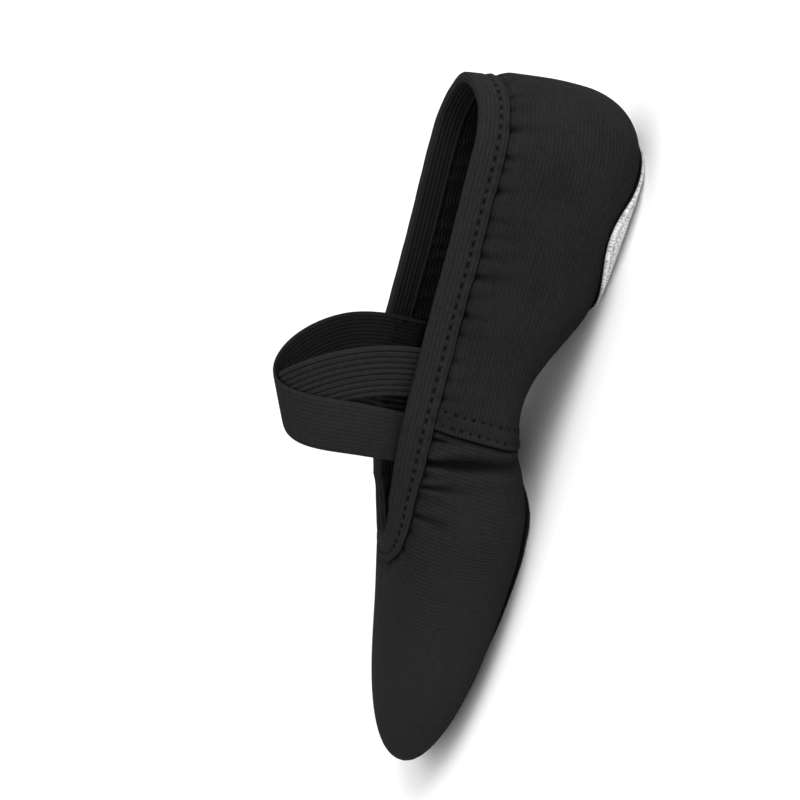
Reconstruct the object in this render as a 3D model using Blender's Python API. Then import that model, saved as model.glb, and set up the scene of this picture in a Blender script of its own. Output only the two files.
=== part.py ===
"""Right-foot dance practice slipper in black stretch canvas, on a split suede sole.

A hollow canvas upper in two panels, bound at the collar, is closed underneath by two
suede patches. An insole lies inside, and two elastic straps cross over the instep.
+X points to the toe, +Y to the big-toe side and +Z up.
"""

import math
from collections import namedtuple

import bmesh
import bpy
import numpy as np

MM = 0.001  # every size below is in millimetres

# Driving sizes of the last
LENGTH = 240.0
BALL_WIDTH = 86.0
HEEL_WIDTH = 60.0
HEEL_HEIGHT = 64.0
INSTEP_HEIGHT = 89.0

# Rib planes fan round a heel point and a toe point, and stand square between them
HEEL_CENTRE = 0.125 * LENGTH
TOE_CENTRE = 0.625 * LENGTH
TOE_REACH = LENGTH - TOE_CENTRE

# Materials and clearances
GAP = 0.3
INSOLE_GAP = 0.5
STRAP_GAP = 0.6
WALL = 1.4
PANEL_STEP = 0.7
PANEL_FADE = 0.15 * LENGTH
TAPE = 0.9
SUEDE = 1.6
SOCK = 1.0
ELASTIC = 1.2
GROUND = SUEDE + GAP

# Arch under the waist of the foot
ARCH_START = 0.27 * LENGTH
ARCH_END = 0.61 * LENGTH
ARCH_RISE = 9.5
ARCH_TILT = 0.20
SEAM = 0.50 * LENGTH
SEAM_EDGE = 0.3

# Rib curve: share of the way up and in that the two handles reach
RISE_SHARE = 0.42
RUN_SHARE = 0.42

# Collar: the tape pulls the canvas in, and the canvas swells again below it
TAPE_OUTSIDE = 9.2
TAPE_INSIDE = 8.0
COLLAR_PULL = 1.5
COLLAR_RELEASE = 6.0
FOLD_SHOULDER = 0.75

# Sole patches: an oval under the heel, a share of the ribs' reach under the toes, and the
# margin by which each laps over the edge of its opening
HEEL_PATCH_MIDDLE = 0.18 * LENGTH
HEEL_PATCH_LENGTH = 0.255 * LENGTH
HEEL_PATCH_WIDTH = 0.87 * HEEL_WIDTH
FRONT_PATCH_END = 0.545 * LENGTH
FRONT_PATCH_SHARE = 0.70
PATCH_MARGIN = 7.0
INSOLE_SHARE = 0.45

# Straps
STRAP_WIDTH = 17.0
STRAP_TAB = 12.0
STRAP_REAR = 0.435 * LENGTH
STRAP_FRONT = 0.53 * LENGTH
INSTEP_SLOPE = 0.55
INSTEP_SHIFT = 4.0
STRAP_LEAN = 13.0
STRAP_LIFT_SHARE = 0.13
STRAP_EASE = 0.5

# Dyes
BLACK = (0.009, 0.009, 0.0095)
SOFT_BLACK = (0.03, 0.03, 0.032)
PALE_GREY = (0.60, 0.60, 0.595)

# Mesh counts, and the angle from which an edge is shown sharp
LEVEL_SAMPLES = 12
TURN_SAMPLES = 26
SIDE_SAMPLES = 50
SHARP_ANGLE = 45
HEEL_RIBS = 14
TOE_RIBS = 24
PATCH_RIBS = 6
ARCH_STEP = 7.0
LOW_ROWS = 7
LOW_CROWDING = 0.7
HIGH_CROWDING = 1.3
HIGH_ROWS = 7
COLLAR_ROWS = (13.0, TAPE_OUTSIDE, TAPE_OUTSIDE / 2, 0.0)
SHEET_TURN_ROWS = (0.0, 0.33, 0.67, 1.0)
SHEET_KNEE = 0.62
STRAP_ROWS = 22
CORE_HEIGHT = 20.0
STRAP_COLUMNS = (-1.0, -0.33, 0.33, 1.0)

# One row for each rib of the last. Heel places are angles and reach is a share of half the
# heel width; side places are shares of the length and reach a share of half the ball width;
# toe places are angles and reach a share of the toe reach. Heights are shares of the heel
# height, lean is the slope at the collar in degrees, and flat is the level share underneath.
Section = namedtuple("Section", "zone place reach widest_z collar_reach collar_z lean flat")
SECTIONS = [
    Section("heel", 180, 1.000, 0.36, 0.783, 1.000, 80, 0.50),
    Section("heel", 135, 1.000, 0.34, 0.817, 0.975, 82, 0.50),
    Section("inner", 0.125, 0.686, 0.34, 0.605, 0.960, 83, 0.50),
    Section("inner", 0.250, 0.698, 0.36, 0.635, 0.925, 86, 0.45),
    Section("inner", 0.354, 0.686, 0.39, 0.640, 0.900, 86, 0.32),
    Section("inner", 0.450, 0.702, 0.40, 0.640, 0.875, 83, 0.28),
    Section("inner", 0.542, 0.780, 0.35, 0.600, 0.840, 68, 0.42),
    Section("inner", 0.625, 0.895, 0.28, 0.430, 0.760, 42, 0.60),
    Section("toe", 64, 0.507, 0.246, 0.194, 0.720, 33, 0.64),
    Section("toe", 45, 0.622, 0.213, 0.189, 0.695, 28, 0.68),
    Section("toe", 27, 0.810, 0.189, 0.183, 0.678, 26, 0.72),
    Section("toe", 13, 0.961, 0.172, 0.178, 0.668, 25, 0.74),
    Section("toe", 2, 1.000, 0.168, 0.178, 0.662, 25, 0.74),
    Section("toe", -9, 0.939, 0.168, 0.178, 0.656, 25, 0.74),
    Section("toe", -24, 0.772, 0.172, 0.183, 0.648, 26, 0.72),
    Section("toe", -45, 0.618, 0.189, 0.189, 0.645, 29, 0.68),
    Section("toe", -67, 0.533, 0.213, 0.194, 0.658, 35, 0.64),
    Section("outer", 0.625, 1.058, 0.238, 0.442, 0.695, 43, 0.60),
    Section("outer", 0.542, 0.988, 0.27, 0.640, 0.780, 60, 0.50),
    Section("outer", 0.450, 0.884, 0.30, 0.740, 0.830, 75, 0.45),
    Section("outer", 0.354, 0.802, 0.32, 0.710, 0.865, 81, 0.42),
    Section("outer", 0.250, 0.733, 0.34, 0.655, 0.905, 84, 0.45),
    Section("outer", 0.125, 0.686, 0.34, 0.605, 0.955, 83, 0.50),
    Section("heel", 225, 1.000, 0.34, 0.817, 0.975, 82, 0.50),
]

# Perimeter: the way round the last, from the heel back past the big toe and home again
HEEL_TURN = math.pi * HEEL_WIDTH / 4
TOE_TURN = math.pi * BALL_WIDTH / 4
SIDE_RUN = TOE_CENTRE - HEEL_CENTRE
INNER_START = HEEL_TURN
TOE_START = INNER_START + SIDE_RUN
OUTER_START = TOE_START + 2 * TOE_TURN
PERIMETER = OUTER_START + SIDE_RUN + HEEL_TURN
REACH_UNIT = {"heel": HEEL_WIDTH / 2, "inner": BALL_WIDTH / 2, "outer": BALL_WIDTH / 2, "toe": TOE_REACH}

Rib = namedtuple("Rib", "zone x direction reach flat line normals lengths widest_length")


def perimeter_of(zone, place):
    """Distance round the last of a rib; side places are in millimetres from the heel."""
    if zone == "inner":
        return INNER_START + place - HEEL_CENTRE
    if zone == "outer":
        return OUTER_START + TOE_CENTRE - place
    if zone == "toe":
        return TOE_START + (90 - place) / 90 * TOE_TURN
    return ((180 - place) / 90 * HEEL_TURN) % PERIMETER


def closed_spline(knots, values, period):
    """Function of the perimeter that runs smoothly through one row of values at each knot."""
    count = len(knots)
    spans = np.diff(np.append(knots, knots[0] + period))
    system = np.zeros((count, count))
    right = np.zeros_like(values)
    for i in range(count):
        before = spans[i - 1]
        after = spans[i]
        following = (i + 1) % count
        system[i, i - 1] += before
        system[i, i] += 2 * (before + after)
        system[i, following] += after
        right[i] = 6 * ((values[following] - values[i]) / after - (values[i] - values[i - 1]) / before)
    bend = np.linalg.solve(system, right)

    def value_at(distance):
        distance = (distance - knots[0]) % period + knots[0]
        i = int(np.searchsorted(knots, distance, side="right")) - 1
        following = (i + 1) % count
        b = (distance - knots[i]) / spans[i]
        a = 1 - b
        bow = (a ** 3 - a) * bend[i] + (b ** 3 - b) * bend[following]
        return a * values[i] + b * values[following] + bow * spans[i] ** 2 / 6

    return value_at


def last_form():
    """Rib sizes in millimetres as a smooth function of the perimeter."""
    rows = []
    for section in SECTIONS:
        place = section.place * LENGTH if section.zone in ("inner", "outer") else section.place
        unit = REACH_UNIT[section.zone]
        rows.append((
            perimeter_of(section.zone, place),
            section.reach * unit,
            section.widest_z * HEEL_HEIGHT,
            section.collar_reach * unit,
            section.collar_z * HEEL_HEIGHT,
            section.lean,
            section.flat,
        ))
    table = np.array(rows)
    return closed_spline(table[:, 0], table[:, 1:], PERIMETER)


FORM = last_form()


def smooth_step(value):
    """Ease from 0 to 1 with level ends."""
    value = min(max(value, 0.0), 1.0)
    return value * value * (3 - 2 * value)


def arch_share(x):
    """0 on the heel and the ball, 1 at the middle of the arch."""
    share = (x - ARCH_START) / (ARCH_END - ARCH_START)
    if not 0 < share < 1:
        return 0.0
    return 0.5 - 0.5 * math.cos(2 * math.pi * share)


def normals_of(line):
    """Unit normals of a rib line, pointing out of the shoe."""
    tangent = np.gradient(line, axis=0)
    tangent /= np.linalg.norm(tangent, axis=1)[:, None]
    return np.column_stack((tangent[:, 1], -tangent[:, 0]))


def lengths_of(line):
    """Distance along a rib line from its start."""
    steps = np.linalg.norm(np.diff(line, axis=0), axis=1)
    return np.concatenate(([0.0], np.cumsum(steps)))


def rib_at(zone, place):
    """Rib of the last: underside, turn and side wall up to the collar, in reach and height."""
    reach, widest_z, collar_reach, collar_z, lean, flat = FORM(perimeter_of(zone, place))
    fanned = zone in ("heel", "toe")
    if fanned:
        x = HEEL_CENTRE if zone == "heel" else TOE_CENTRE
        direction = np.array((math.cos(math.radians(place)), math.sin(math.radians(place))))
    else:
        x = place
        direction = np.array((0.0, 1.0 if zone == "inner" else -1.0))
    arch = 0.0 if fanned else arch_share(x)
    base_z = GROUND + ARCH_RISE * arch
    tilt = ARCH_TILT * arch * direction[1]

    level = np.linspace(0, flat * reach, LEVEL_SAMPLES)[:-1]
    turn = np.linspace(0, math.pi / 2, TURN_SAMPLES)
    low_r = np.concatenate((level, flat * reach + (1 - flat) * reach * np.sin(turn)))
    low_z = np.concatenate((np.full(len(level), base_z), widest_z - (widest_z - base_z) * np.cos(turn)))
    low_z = low_z + tilt * low_r * (1 - (low_r / reach) ** 2)

    widest = np.array((reach, widest_z))
    collar = np.array((collar_reach, collar_z))
    slope = np.array((math.cos(math.radians(lean)), -math.sin(math.radians(lean))))
    rise = RISE_SHARE * (collar_z - widest_z)
    run = RUN_SHARE * np.linalg.norm(collar - widest)
    handles = (widest, widest + (0, rise), collar + run * slope, collar)
    t = np.linspace(0, 1, SIDE_SAMPLES)[1:, None]
    weights = ((1 - t) ** 3, 3 * t * (1 - t) ** 2, 3 * t ** 2 * (1 - t), t ** 3)
    high = sum(weight * handle for weight, handle in zip(weights, handles))

    line = np.vstack((np.column_stack((low_r, low_z)), high))
    to_collar = lengths_of(line)[-1] - lengths_of(line)
    pull = [COLLAR_PULL * (1 - smooth_step((d - TAPE_OUTSIDE) / COLLAR_RELEASE)) for d in to_collar]
    line = line - normals_of(line) * np.array(pull)[:, None]
    lengths = lengths_of(line)
    normals = normals_of(line)
    normals[0] = np.array((tilt, -1.0)) / math.hypot(tilt, 1.0)
    return Rib(zone, x, direction, reach, flat, line, normals, lengths, lengths[len(low_r) - 1])


def point_on(rib, length, offset):
    """Point in space at a length along a rib, moved out by offset."""
    r, z, out_r, out_z = (
        np.interp(length, rib.lengths, column)
        for column in (rib.line[:, 0], rib.line[:, 1], rib.normals[:, 0], rib.normals[:, 1])
    )
    r += out_r * offset
    return (rib.x + r * rib.direction[0], r * rib.direction[1], z + out_z * offset)


def length_at_reach(rib, reach):
    """Length along the underside of a rib where it has come out this far."""
    low = rib.lengths <= rib.widest_length
    return float(np.interp(reach, rib.line[low, 0], rib.lengths[low]))


def heel_patch_reach(rib, margin):
    """How far the heel oval, less a margin, reaches along a rib; 0 in front of its end."""
    half_length = HEEL_PATCH_LENGTH / 2 - margin
    half_width = HEEL_PATCH_WIDTH / 2 - margin
    back = (rib.x - HEEL_PATCH_MIDDLE) / half_length
    if rib.zone == "toe" or back >= 1:
        return 0.0
    along, across = rib.direction / (half_length, half_width)
    square = along ** 2 + across ** 2
    return (math.sqrt((along * back) ** 2 + square * (1 - back ** 2)) - along * back) / square


def front_patch_reach(rib, margin):
    """How far the forefoot patch, less a margin, reaches along a rib; 0 behind its end."""
    share = 0.0 if rib.zone == "toe" else (TOE_CENTRE - rib.x) / (TOE_CENTRE - FRONT_PATCH_END - margin)
    if rib.zone == "heel" or share >= 1:
        return 0.0
    return (FRONT_PATCH_SHARE * rib.reach - margin) * math.sqrt(1 - share ** 2)


def fan_places(start, end, count):
    """Evenly spread angles of the ribs in a fan."""
    return [start + (end - start) * k / count for k in range(count + 1)]


def closing_places(centre, end):
    """Side places from a fan's centre to a patch's end, closer together at the end."""
    quarter = math.pi / 2
    return [centre + (end - centre) * math.sin(quarter * k / PATCH_RIBS) for k in range(1, PATCH_RIBS + 1)]


def upper_ribs():
    """Ribs round the whole upper, with a close pair at the arch seam."""
    heel_end = HEEL_PATCH_MIDDLE + HEEL_PATCH_LENGTH / 2 - PATCH_MARGIN
    front_end = FRONT_PATCH_END + PATCH_MARGIN
    rear_count = round((SEAM - heel_end) / ARCH_STEP)
    front_count = round((front_end - SEAM) / ARCH_STEP)
    sides = closing_places(HEEL_CENTRE, heel_end)
    sides += [heel_end + (SEAM - SEAM_EDGE - heel_end) * k / rear_count for k in range(1, rear_count + 1)]
    sides += [SEAM + SEAM_EDGE + (front_end - SEAM - SEAM_EDGE) * k / front_count for k in range(front_count)]
    sides += closing_places(TOE_CENTRE, front_end)[::-1]
    ribs = [rib_at("heel", angle) for angle in fan_places(180, 90, HEEL_RIBS // 2)]
    ribs += [rib_at("inner", x) for x in sides]
    ribs += [rib_at("toe", angle) for angle in fan_places(90, -90, TOE_RIBS)]
    ribs += [rib_at("outer", x) for x in reversed(sides)]
    ribs += [rib_at("heel", angle) for angle in fan_places(270, 180, HEEL_RIBS // 2)[:-1]]
    return ribs


def panel_step(rib):
    """The rear panel's edge lies over the front panel, and levels out towards the heel."""
    if rib.zone in ("heel", "toe") or rib.x > SEAM:
        return 0.0
    return PANEL_STEP * (1 - smooth_step((SEAM - rib.x) / PANEL_FADE))


class Piece:
    """Points, welded where they meet, and faces of one closed solid."""

    def __init__(self):
        self.points = []
        self.index = {}
        self.faces = []

    def point(self, place):
        key = tuple(round(float(value), 4) for value in place)
        if key not in self.index:
            self.index[key] = len(self.points)
            self.points.append(place)
        return self.index[key]

    def face(self, *corners):
        ids = list(dict.fromkeys(self.point(corner) for corner in corners))
        if len(ids) == 4:
            self.split(ids)
        elif len(ids) == 3:
            self.faces.append(ids)

    def split(self, ids):
        """Cut a quad on the diagonal that stands out, so that facing pieces stay parallel."""
        a, b, c, d = (np.array(self.points[k]) for k in ids)
        core = np.array(((a + b + c + d)[0] / 4, 0.0, CORE_HEIGHT))
        if np.linalg.norm((a + c) / 2 - core) > np.linalg.norm((b + d) / 2 - core):
            self.faces += [[ids[0], ids[1], ids[2]], [ids[0], ids[2], ids[3]]]
        else:
            self.faces += [[ids[0], ids[1], ids[3]], [ids[1], ids[2], ids[3]]]

    def strip(self, row_a, row_b):
        """Faces between two rows of points."""
        for k in range(len(row_a) - 1):
            self.face(row_a[k], row_a[k + 1], row_b[k + 1], row_b[k])


def upper_rows(rib):
    """Lengths along a rib from the sole opening, or the middle of the arch, to the collar."""
    opening = max(heel_patch_reach(rib, PATCH_MARGIN), front_patch_reach(rib, PATCH_MARGIN))
    start = length_at_reach(rib, opening)
    full = rib.lengths[-1]
    low_share = np.linspace(0, 1, LOW_ROWS + 1)[:-1] ** LOW_CROWDING
    low = start + (rib.widest_length - start) * low_share
    high_share = np.linspace(0, 1, HIGH_ROWS + 1)[:-1] ** HIGH_CROWDING
    high = rib.widest_length + (full - COLLAR_ROWS[0] - rib.widest_length) * high_share
    return np.concatenate((low, high, full - np.array(COLLAR_ROWS)))


def make_upper(ribs):
    """Hollow canvas wall, open at the collar and underneath at the two sole patches."""
    piece = Piece()
    outside = [[point_on(rib, length, panel_step(rib)) for length in upper_rows(rib)] for rib in ribs]
    inside = [[point_on(rib, length, -WALL) for length in upper_rows(rib)] for rib in ribs]
    for i in range(len(ribs)):
        before = i - 1
        piece.strip(outside[i], outside[before])
        piece.strip(inside[before], inside[i])
        piece.face(outside[before][-1], outside[i][-1], inside[i][-1], inside[before][-1])
        middle = all(abs(outside[k][0][1]) < GAP and ribs[k].zone in ("inner", "outer") for k in (i, before))
        if not middle:
            piece.face(outside[i][0], outside[before][0], inside[before][0], inside[i][0])
    return piece


def tape_step(rib):
    """The tape runs off the panel step gently instead of stepping down with it."""
    if rib.zone in ("heel", "toe") or rib.x < SEAM:
        return panel_step(rib)
    return PANEL_STEP * (1 - smooth_step((rib.x - SEAM) / ARCH_STEP))


def make_binding(ribs):
    """Tape folded over the collar edge, clear of the canvas all round."""
    piece = Piece()
    loops = []
    for rib in ribs:
        top = rib.lengths[-1]
        out_near = tape_step(rib) + GAP
        out_far = out_near + TAPE
        in_near = -WALL - GAP
        in_far = in_near - TAPE
        middle = (out_far + in_far) / 2
        half = (out_far - in_far) / 2
        fold = GAP + TAPE
        crown = point_on(rib, top, middle)
        rise = np.array(point_on(rib, top, 0)) - np.array(point_on(rib, top - TAPE, 0))
        rise /= np.linalg.norm(rise)
        shoulder_rise = rise * fold * FOLD_SHOULDER
        shoulder_out = np.array(point_on(rib, top, middle + half * FOLD_SHOULDER)) + shoulder_rise
        shoulder_in = np.array(point_on(rib, top, middle - half * FOLD_SHOULDER)) + shoulder_rise
        lining_out = np.array(point_on(rib, top, out_near)) + rise * GAP
        lining_in = np.array(point_on(rib, top, in_near)) + rise * GAP
        loops.append([
            point_on(rib, top - TAPE_OUTSIDE, out_far),
            point_on(rib, top - TAPE_OUTSIDE / 2, out_far),
            point_on(rib, top, out_far),
            shoulder_out,
            np.array(crown) + rise * fold,
            shoulder_in,
            point_on(rib, top, in_far),
            point_on(rib, top - TAPE_INSIDE / 2, in_far),
            point_on(rib, top - TAPE_INSIDE, in_far),
            point_on(rib, top - TAPE_INSIDE, in_near),
            point_on(rib, top - TAPE_INSIDE / 2, in_near),
            lining_in,
            lining_out,
            point_on(rib, top - TAPE_OUTSIDE / 2, out_near),
            point_on(rib, top - TAPE_OUTSIDE, out_near),
        ])
    for i in range(len(ribs)):
        piece.strip(loops[i] + loops[i][:1], loops[i - 1] + loops[i - 1][:1])
    return piece


def make_sheet(ribs, reaches, low, high):
    """Curved sheet that follows the underside of the last, between two offsets."""
    piece = Piece()
    lower = []
    upper = []
    for rib, reach in zip(ribs, reaches):
        knee = min(rib.flat * rib.reach, SHEET_KNEE * reach)
        stops = [0.0] + [knee + (reach - knee) * share for share in SHEET_TURN_ROWS]
        lengths = [length_at_reach(rib, stop) for stop in stops]
        lower.append([point_on(rib, length, low) for length in lengths])
        upper.append([point_on(rib, length, high) for length in lengths])
    for i in range(len(ribs)):
        piece.strip(lower[i], lower[i - 1])
        piece.strip(upper[i - 1], upper[i])
        piece.face(lower[i - 1][-1], lower[i][-1], upper[i][-1], upper[i - 1][-1])
    return piece


def make_heel_patch():
    """Cupped suede patch under the heel, sewn over the edge of the opening."""
    sides = closing_places(HEEL_CENTRE, HEEL_PATCH_MIDDLE + HEEL_PATCH_LENGTH / 2)
    ribs = [rib_at("heel", angle) for angle in fan_places(270, 90, HEEL_RIBS)]
    ribs += [rib_at("inner", x) for x in sides]
    ribs += [rib_at("outer", x) for x in sides[-2::-1]]
    return make_sheet(ribs, [heel_patch_reach(rib, 0.0) for rib in ribs], GROUND, GAP)


def make_front_patch():
    """Suede patch under the ball and the toes."""
    sides = closing_places(TOE_CENTRE, FRONT_PATCH_END)
    ribs = [rib_at("toe", angle) for angle in fan_places(90, -90, TOE_RIBS)]
    ribs += [rib_at("outer", x) for x in sides]
    ribs += [rib_at("inner", x) for x in sides[-2::-1]]
    return make_sheet(ribs, [front_patch_reach(rib, 0.0) for rib in ribs], GROUND, GAP)


def make_insole(ribs):
    """Sock lining on the inside bottom, from heel to toe."""
    reaches = [rib.reach * (rib.flat + INSOLE_SHARE * (1 - rib.flat)) for rib in ribs]
    return make_sheet(ribs, reaches, -WALL - INSOLE_GAP, -WALL - INSOLE_GAP - SOCK)


def collar_inside(zone, x, depth, inset):
    """Point inside the collar, a depth below its edge."""
    rib = rib_at(zone, x)
    return np.array(point_on(rib, rib.lengths[-1] - depth, -inset))


def instep(x, share, inset):
    """Bed of the straps: from the inner collar edge (0) over the instep to the outer one (1)."""
    inner = collar_inside("inner", x, 0, inset)
    outer = collar_inside("outer", x, 0, inset)
    middle = (inner + outer) / 2
    angle = math.pi * share
    crossing = (STRAP_REAR + STRAP_FRONT) / 2
    ridge = INSTEP_HEIGHT - INSTEP_SLOPE * (x - crossing)
    swell = math.sin(angle)
    bow = np.array((STRAP_LEAN * swell, INSTEP_SHIFT, ridge - middle[2])) * swell
    return middle + (inner - outer) / 2 * math.cos(angle) + bow


def make_strap(inner_x, outer_x, lift):
    """Elastic strap, sewn inside the collar at both ends; lift clears the strap below it."""
    piece = Piece()
    inset = WALL + GAP + TAPE + STRAP_GAP + ELASTIC
    depths = (STRAP_TAB, TAPE_INSIDE, TAPE_INSIDE / 2)
    half = STRAP_WIDTH / 2
    rows = []
    rises = []
    for depth in depths:
        rows.append([collar_inside("inner", inner_x + half * w, depth, inset) for w in STRAP_COLUMNS])
        rises.append(0.0)
    for k in range(STRAP_ROWS + 1):
        share = k / STRAP_ROWS
        crossed = (1 - STRAP_EASE) * share + STRAP_EASE * smooth_step(share)
        x = inner_x + (outer_x - inner_x) * crossed
        rows.append([instep(x + half * w, share, inset) for w in STRAP_COLUMNS])
        end_share = min(share, 1 - share)
        rises.append(lift * smooth_step(end_share / STRAP_LIFT_SHARE))
    for depth in reversed(depths):
        rows.append([collar_inside("outer", outer_x + half * w, depth, inset) for w in STRAP_COLUMNS])
        rises.append(0.0)
    bed = np.array(rows)
    normal = np.cross(np.gradient(bed, axis=0), np.gradient(bed, axis=1))
    normal /= np.linalg.norm(normal, axis=2)[:, :, None]
    under = bed + normal * np.array(rises)[:, None, None]
    over = under + normal * ELASTIC
    for i in range(1, len(rows)):
        piece.strip(over[i], over[i - 1])
        piece.strip(under[i - 1], under[i])
        piece.face(under[i - 1][0], under[i][0], over[i][0], over[i - 1][0])
        piece.face(over[i - 1][-1], over[i][-1], under[i][-1], under[i - 1][-1])
    piece.strip(over[0], under[0])
    piece.strip(under[-1], over[-1])
    return piece


def finish_material(name, colour, roughness):
    """Plain dyed finish of one piece."""
    material = bpy.data.materials.new(name)
    material.use_nodes = True
    shader = material.node_tree.nodes["Principled BSDF"]
    shader.inputs["Base Color"].default_value = (*colour, 1.0)
    shader.inputs["Roughness"].default_value = roughness
    shader.inputs["Metallic"].default_value = 0.0
    material.diffuse_color = (*colour, 1.0)
    return material


def add_object(name, piece, shift, material):
    """Put one solid in the scene in metres, with its faces turned out."""
    mesh = bpy.data.meshes.new(name)
    mesh.from_pydata([tuple((np.array(p) - shift) * MM) for p in piece.points], [], piece.faces)
    solid = bmesh.new()
    solid.from_mesh(mesh)
    bmesh.ops.recalc_face_normals(solid, faces=solid.faces)
    solid.to_mesh(mesh)
    solid.free()
    mesh.shade_smooth()
    mesh.set_sharp_from_angle(angle=math.radians(SHARP_ANGLE))
    mesh.materials.append(material)
    bpy.context.collection.objects.link(bpy.data.objects.new(name, mesh))


for old in list(bpy.data.objects):
    bpy.data.objects.remove(old, do_unlink=True)

all_ribs = upper_ribs()
canvas = finish_material("canvas", BLACK, 0.85)
tape = finish_material("binding_tape", BLACK, 0.75)
suede = finish_material("sole_suede", PALE_GREY, 0.95)
cotton = finish_material("sock_cotton", SOFT_BLACK, 0.9)
elastic = finish_material("strap_elastic", BLACK, 0.7)
pieces = [
    ("upper", make_upper(all_ribs), canvas),
    ("sole_forefoot", make_front_patch(), suede),
    ("sole_heel", make_heel_patch(), suede.copy()),
    ("insole", make_insole(all_ribs), cotton),
    ("collar_binding", make_binding(all_ribs), tape),
    ("strap_under", make_strap(STRAP_REAR, STRAP_FRONT, 0.0), elastic),
    ("strap_over", make_strap(STRAP_FRONT, STRAP_REAR, ELASTIC + GAP), elastic.copy()),
]
everything = np.array([point for _, piece, _ in pieces for point in piece.points])
middle_of_footprint = (everything.min(axis=0) + everything.max(axis=0)) / 2
middle_of_footprint[2] = 0.0
for piece_name, solid_piece, finish in pieces:
    add_object(piece_name, solid_piece, middle_of_footprint, finish)
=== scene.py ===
"""Looks of a black stretch-canvas dance slipper, the right one of a pair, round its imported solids.

Sizes are millimetres on the last: x runs from the heel back to the toe, y to the inner side and
z up from the floor. Each mesh is put into the frame's metres as it is made.
"""
import math
from collections import namedtuple

import bmesh
import bpy
import numpy as np
from mathutils import Matrix, Vector


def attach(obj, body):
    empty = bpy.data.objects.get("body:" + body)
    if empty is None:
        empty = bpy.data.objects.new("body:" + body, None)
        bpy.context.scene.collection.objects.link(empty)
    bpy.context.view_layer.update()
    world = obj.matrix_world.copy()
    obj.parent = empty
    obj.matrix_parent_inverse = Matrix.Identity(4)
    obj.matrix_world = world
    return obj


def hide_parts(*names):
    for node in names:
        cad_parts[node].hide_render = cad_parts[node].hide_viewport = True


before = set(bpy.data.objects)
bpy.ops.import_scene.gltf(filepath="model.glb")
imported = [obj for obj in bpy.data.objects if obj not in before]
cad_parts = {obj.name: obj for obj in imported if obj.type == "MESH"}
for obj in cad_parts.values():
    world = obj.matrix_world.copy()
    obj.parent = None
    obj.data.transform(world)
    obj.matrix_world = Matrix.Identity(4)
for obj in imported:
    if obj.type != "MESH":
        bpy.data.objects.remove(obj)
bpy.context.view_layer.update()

# Front panel: one piece of black stretch canvas, drawn over the toe of the last and pleated
# underneath, where the forefoot patch hides its cut edge. Its ribs run across the shoe, and
# soft creases fan out from the collar where the shoe bends.
MM = 0.001
LENGTH = 240.0
BALL_WIDTH = 86.0
HEEL_WIDTH = 60.0
HEEL_HEIGHT = 64.0
HEEL_CENTRE = 0.125 * LENGTH
TOE_CENTRE = 0.625 * LENGTH
TOE_REACH = LENGTH - TOE_CENTRE
WALL = 1.4
GAP = 0.3
SUEDE = 1.6
GROUND = SUEDE + GAP
ARCH_START = 0.27 * LENGTH
ARCH_END = 0.61 * LENGTH
ARCH_RISE = 9.5
ARCH_TILT = 0.20
HANDLE_SHARE = 0.42
TAPE_OUTSIDE = 9.2
COLLAR_PULL = 1.5
COLLAR_RELEASE = 6.0
SEAM = 0.50 * LENGTH
LAP = 9.0
HEEL_PATCH_MIDDLE = 0.18 * LENGTH
HEEL_PATCH_LENGTH = 0.255 * LENGTH
HEEL_PATCH_WIDTH = 0.87 * HEEL_WIDTH
FRONT_PATCH_END = 0.545 * LENGTH
FRONT_PATCH_SHARE = 0.70
PATCH_MARGIN = 7.0

# One row for each rib of the last: heel and toe places are angles, side places shares of the
# length. Reach is a share of half the heel width, half the ball width or the toe reach; heights
# are shares of the heel height; lean is in degrees, and flat is the level share underneath.
Section = namedtuple("Section", "zone place reach widest_z collar_reach collar_z lean flat")
SECTIONS = [
    Section("heel", 180, 1.000, 0.36, 0.783, 1.000, 80, 0.50),
    Section("heel", 135, 1.000, 0.34, 0.817, 0.975, 82, 0.50),
    Section("inner", 0.125, 0.686, 0.34, 0.605, 0.960, 83, 0.50),
    Section("inner", 0.250, 0.698, 0.36, 0.635, 0.925, 86, 0.45),
    Section("inner", 0.354, 0.686, 0.39, 0.640, 0.900, 86, 0.32),
    Section("inner", 0.450, 0.702, 0.40, 0.640, 0.875, 83, 0.28),
    Section("inner", 0.542, 0.780, 0.35, 0.600, 0.840, 68, 0.42),
    Section("inner", 0.625, 0.895, 0.28, 0.430, 0.760, 42, 0.60),
    Section("toe", 64, 0.507, 0.246, 0.194, 0.720, 33, 0.64),
    Section("toe", 45, 0.622, 0.213, 0.189, 0.695, 28, 0.68),
    Section("toe", 27, 0.810, 0.189, 0.183, 0.678, 26, 0.72),
    Section("toe", 13, 0.961, 0.172, 0.178, 0.668, 25, 0.74),
    Section("toe", 2, 1.000, 0.168, 0.178, 0.662, 25, 0.74),
    Section("toe", -9, 0.939, 0.168, 0.178, 0.656, 25, 0.74),
    Section("toe", -24, 0.772, 0.172, 0.183, 0.648, 26, 0.72),
    Section("toe", -45, 0.618, 0.189, 0.189, 0.645, 29, 0.68),
    Section("toe", -67, 0.533, 0.213, 0.194, 0.658, 35, 0.64),
    Section("outer", 0.625, 1.058, 0.238, 0.442, 0.695, 43, 0.60),
    Section("outer", 0.542, 0.988, 0.27, 0.640, 0.780, 60, 0.50),
    Section("outer", 0.450, 0.884, 0.30, 0.740, 0.830, 75, 0.45),
    Section("outer", 0.354, 0.802, 0.32, 0.710, 0.865, 81, 0.42),
    Section("outer", 0.250, 0.733, 0.34, 0.655, 0.905, 84, 0.45),
    Section("outer", 0.125, 0.686, 0.34, 0.605, 0.955, 83, 0.50),
    Section("heel", 225, 1.000, 0.34, 0.817, 0.975, 82, 0.50),
]
HEEL_TURN = math.pi * HEEL_WIDTH / 4
TOE_TURN = math.pi * BALL_WIDTH / 4
SIDE_RUN = TOE_CENTRE - HEEL_CENTRE
INNER_START = HEEL_TURN
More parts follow.
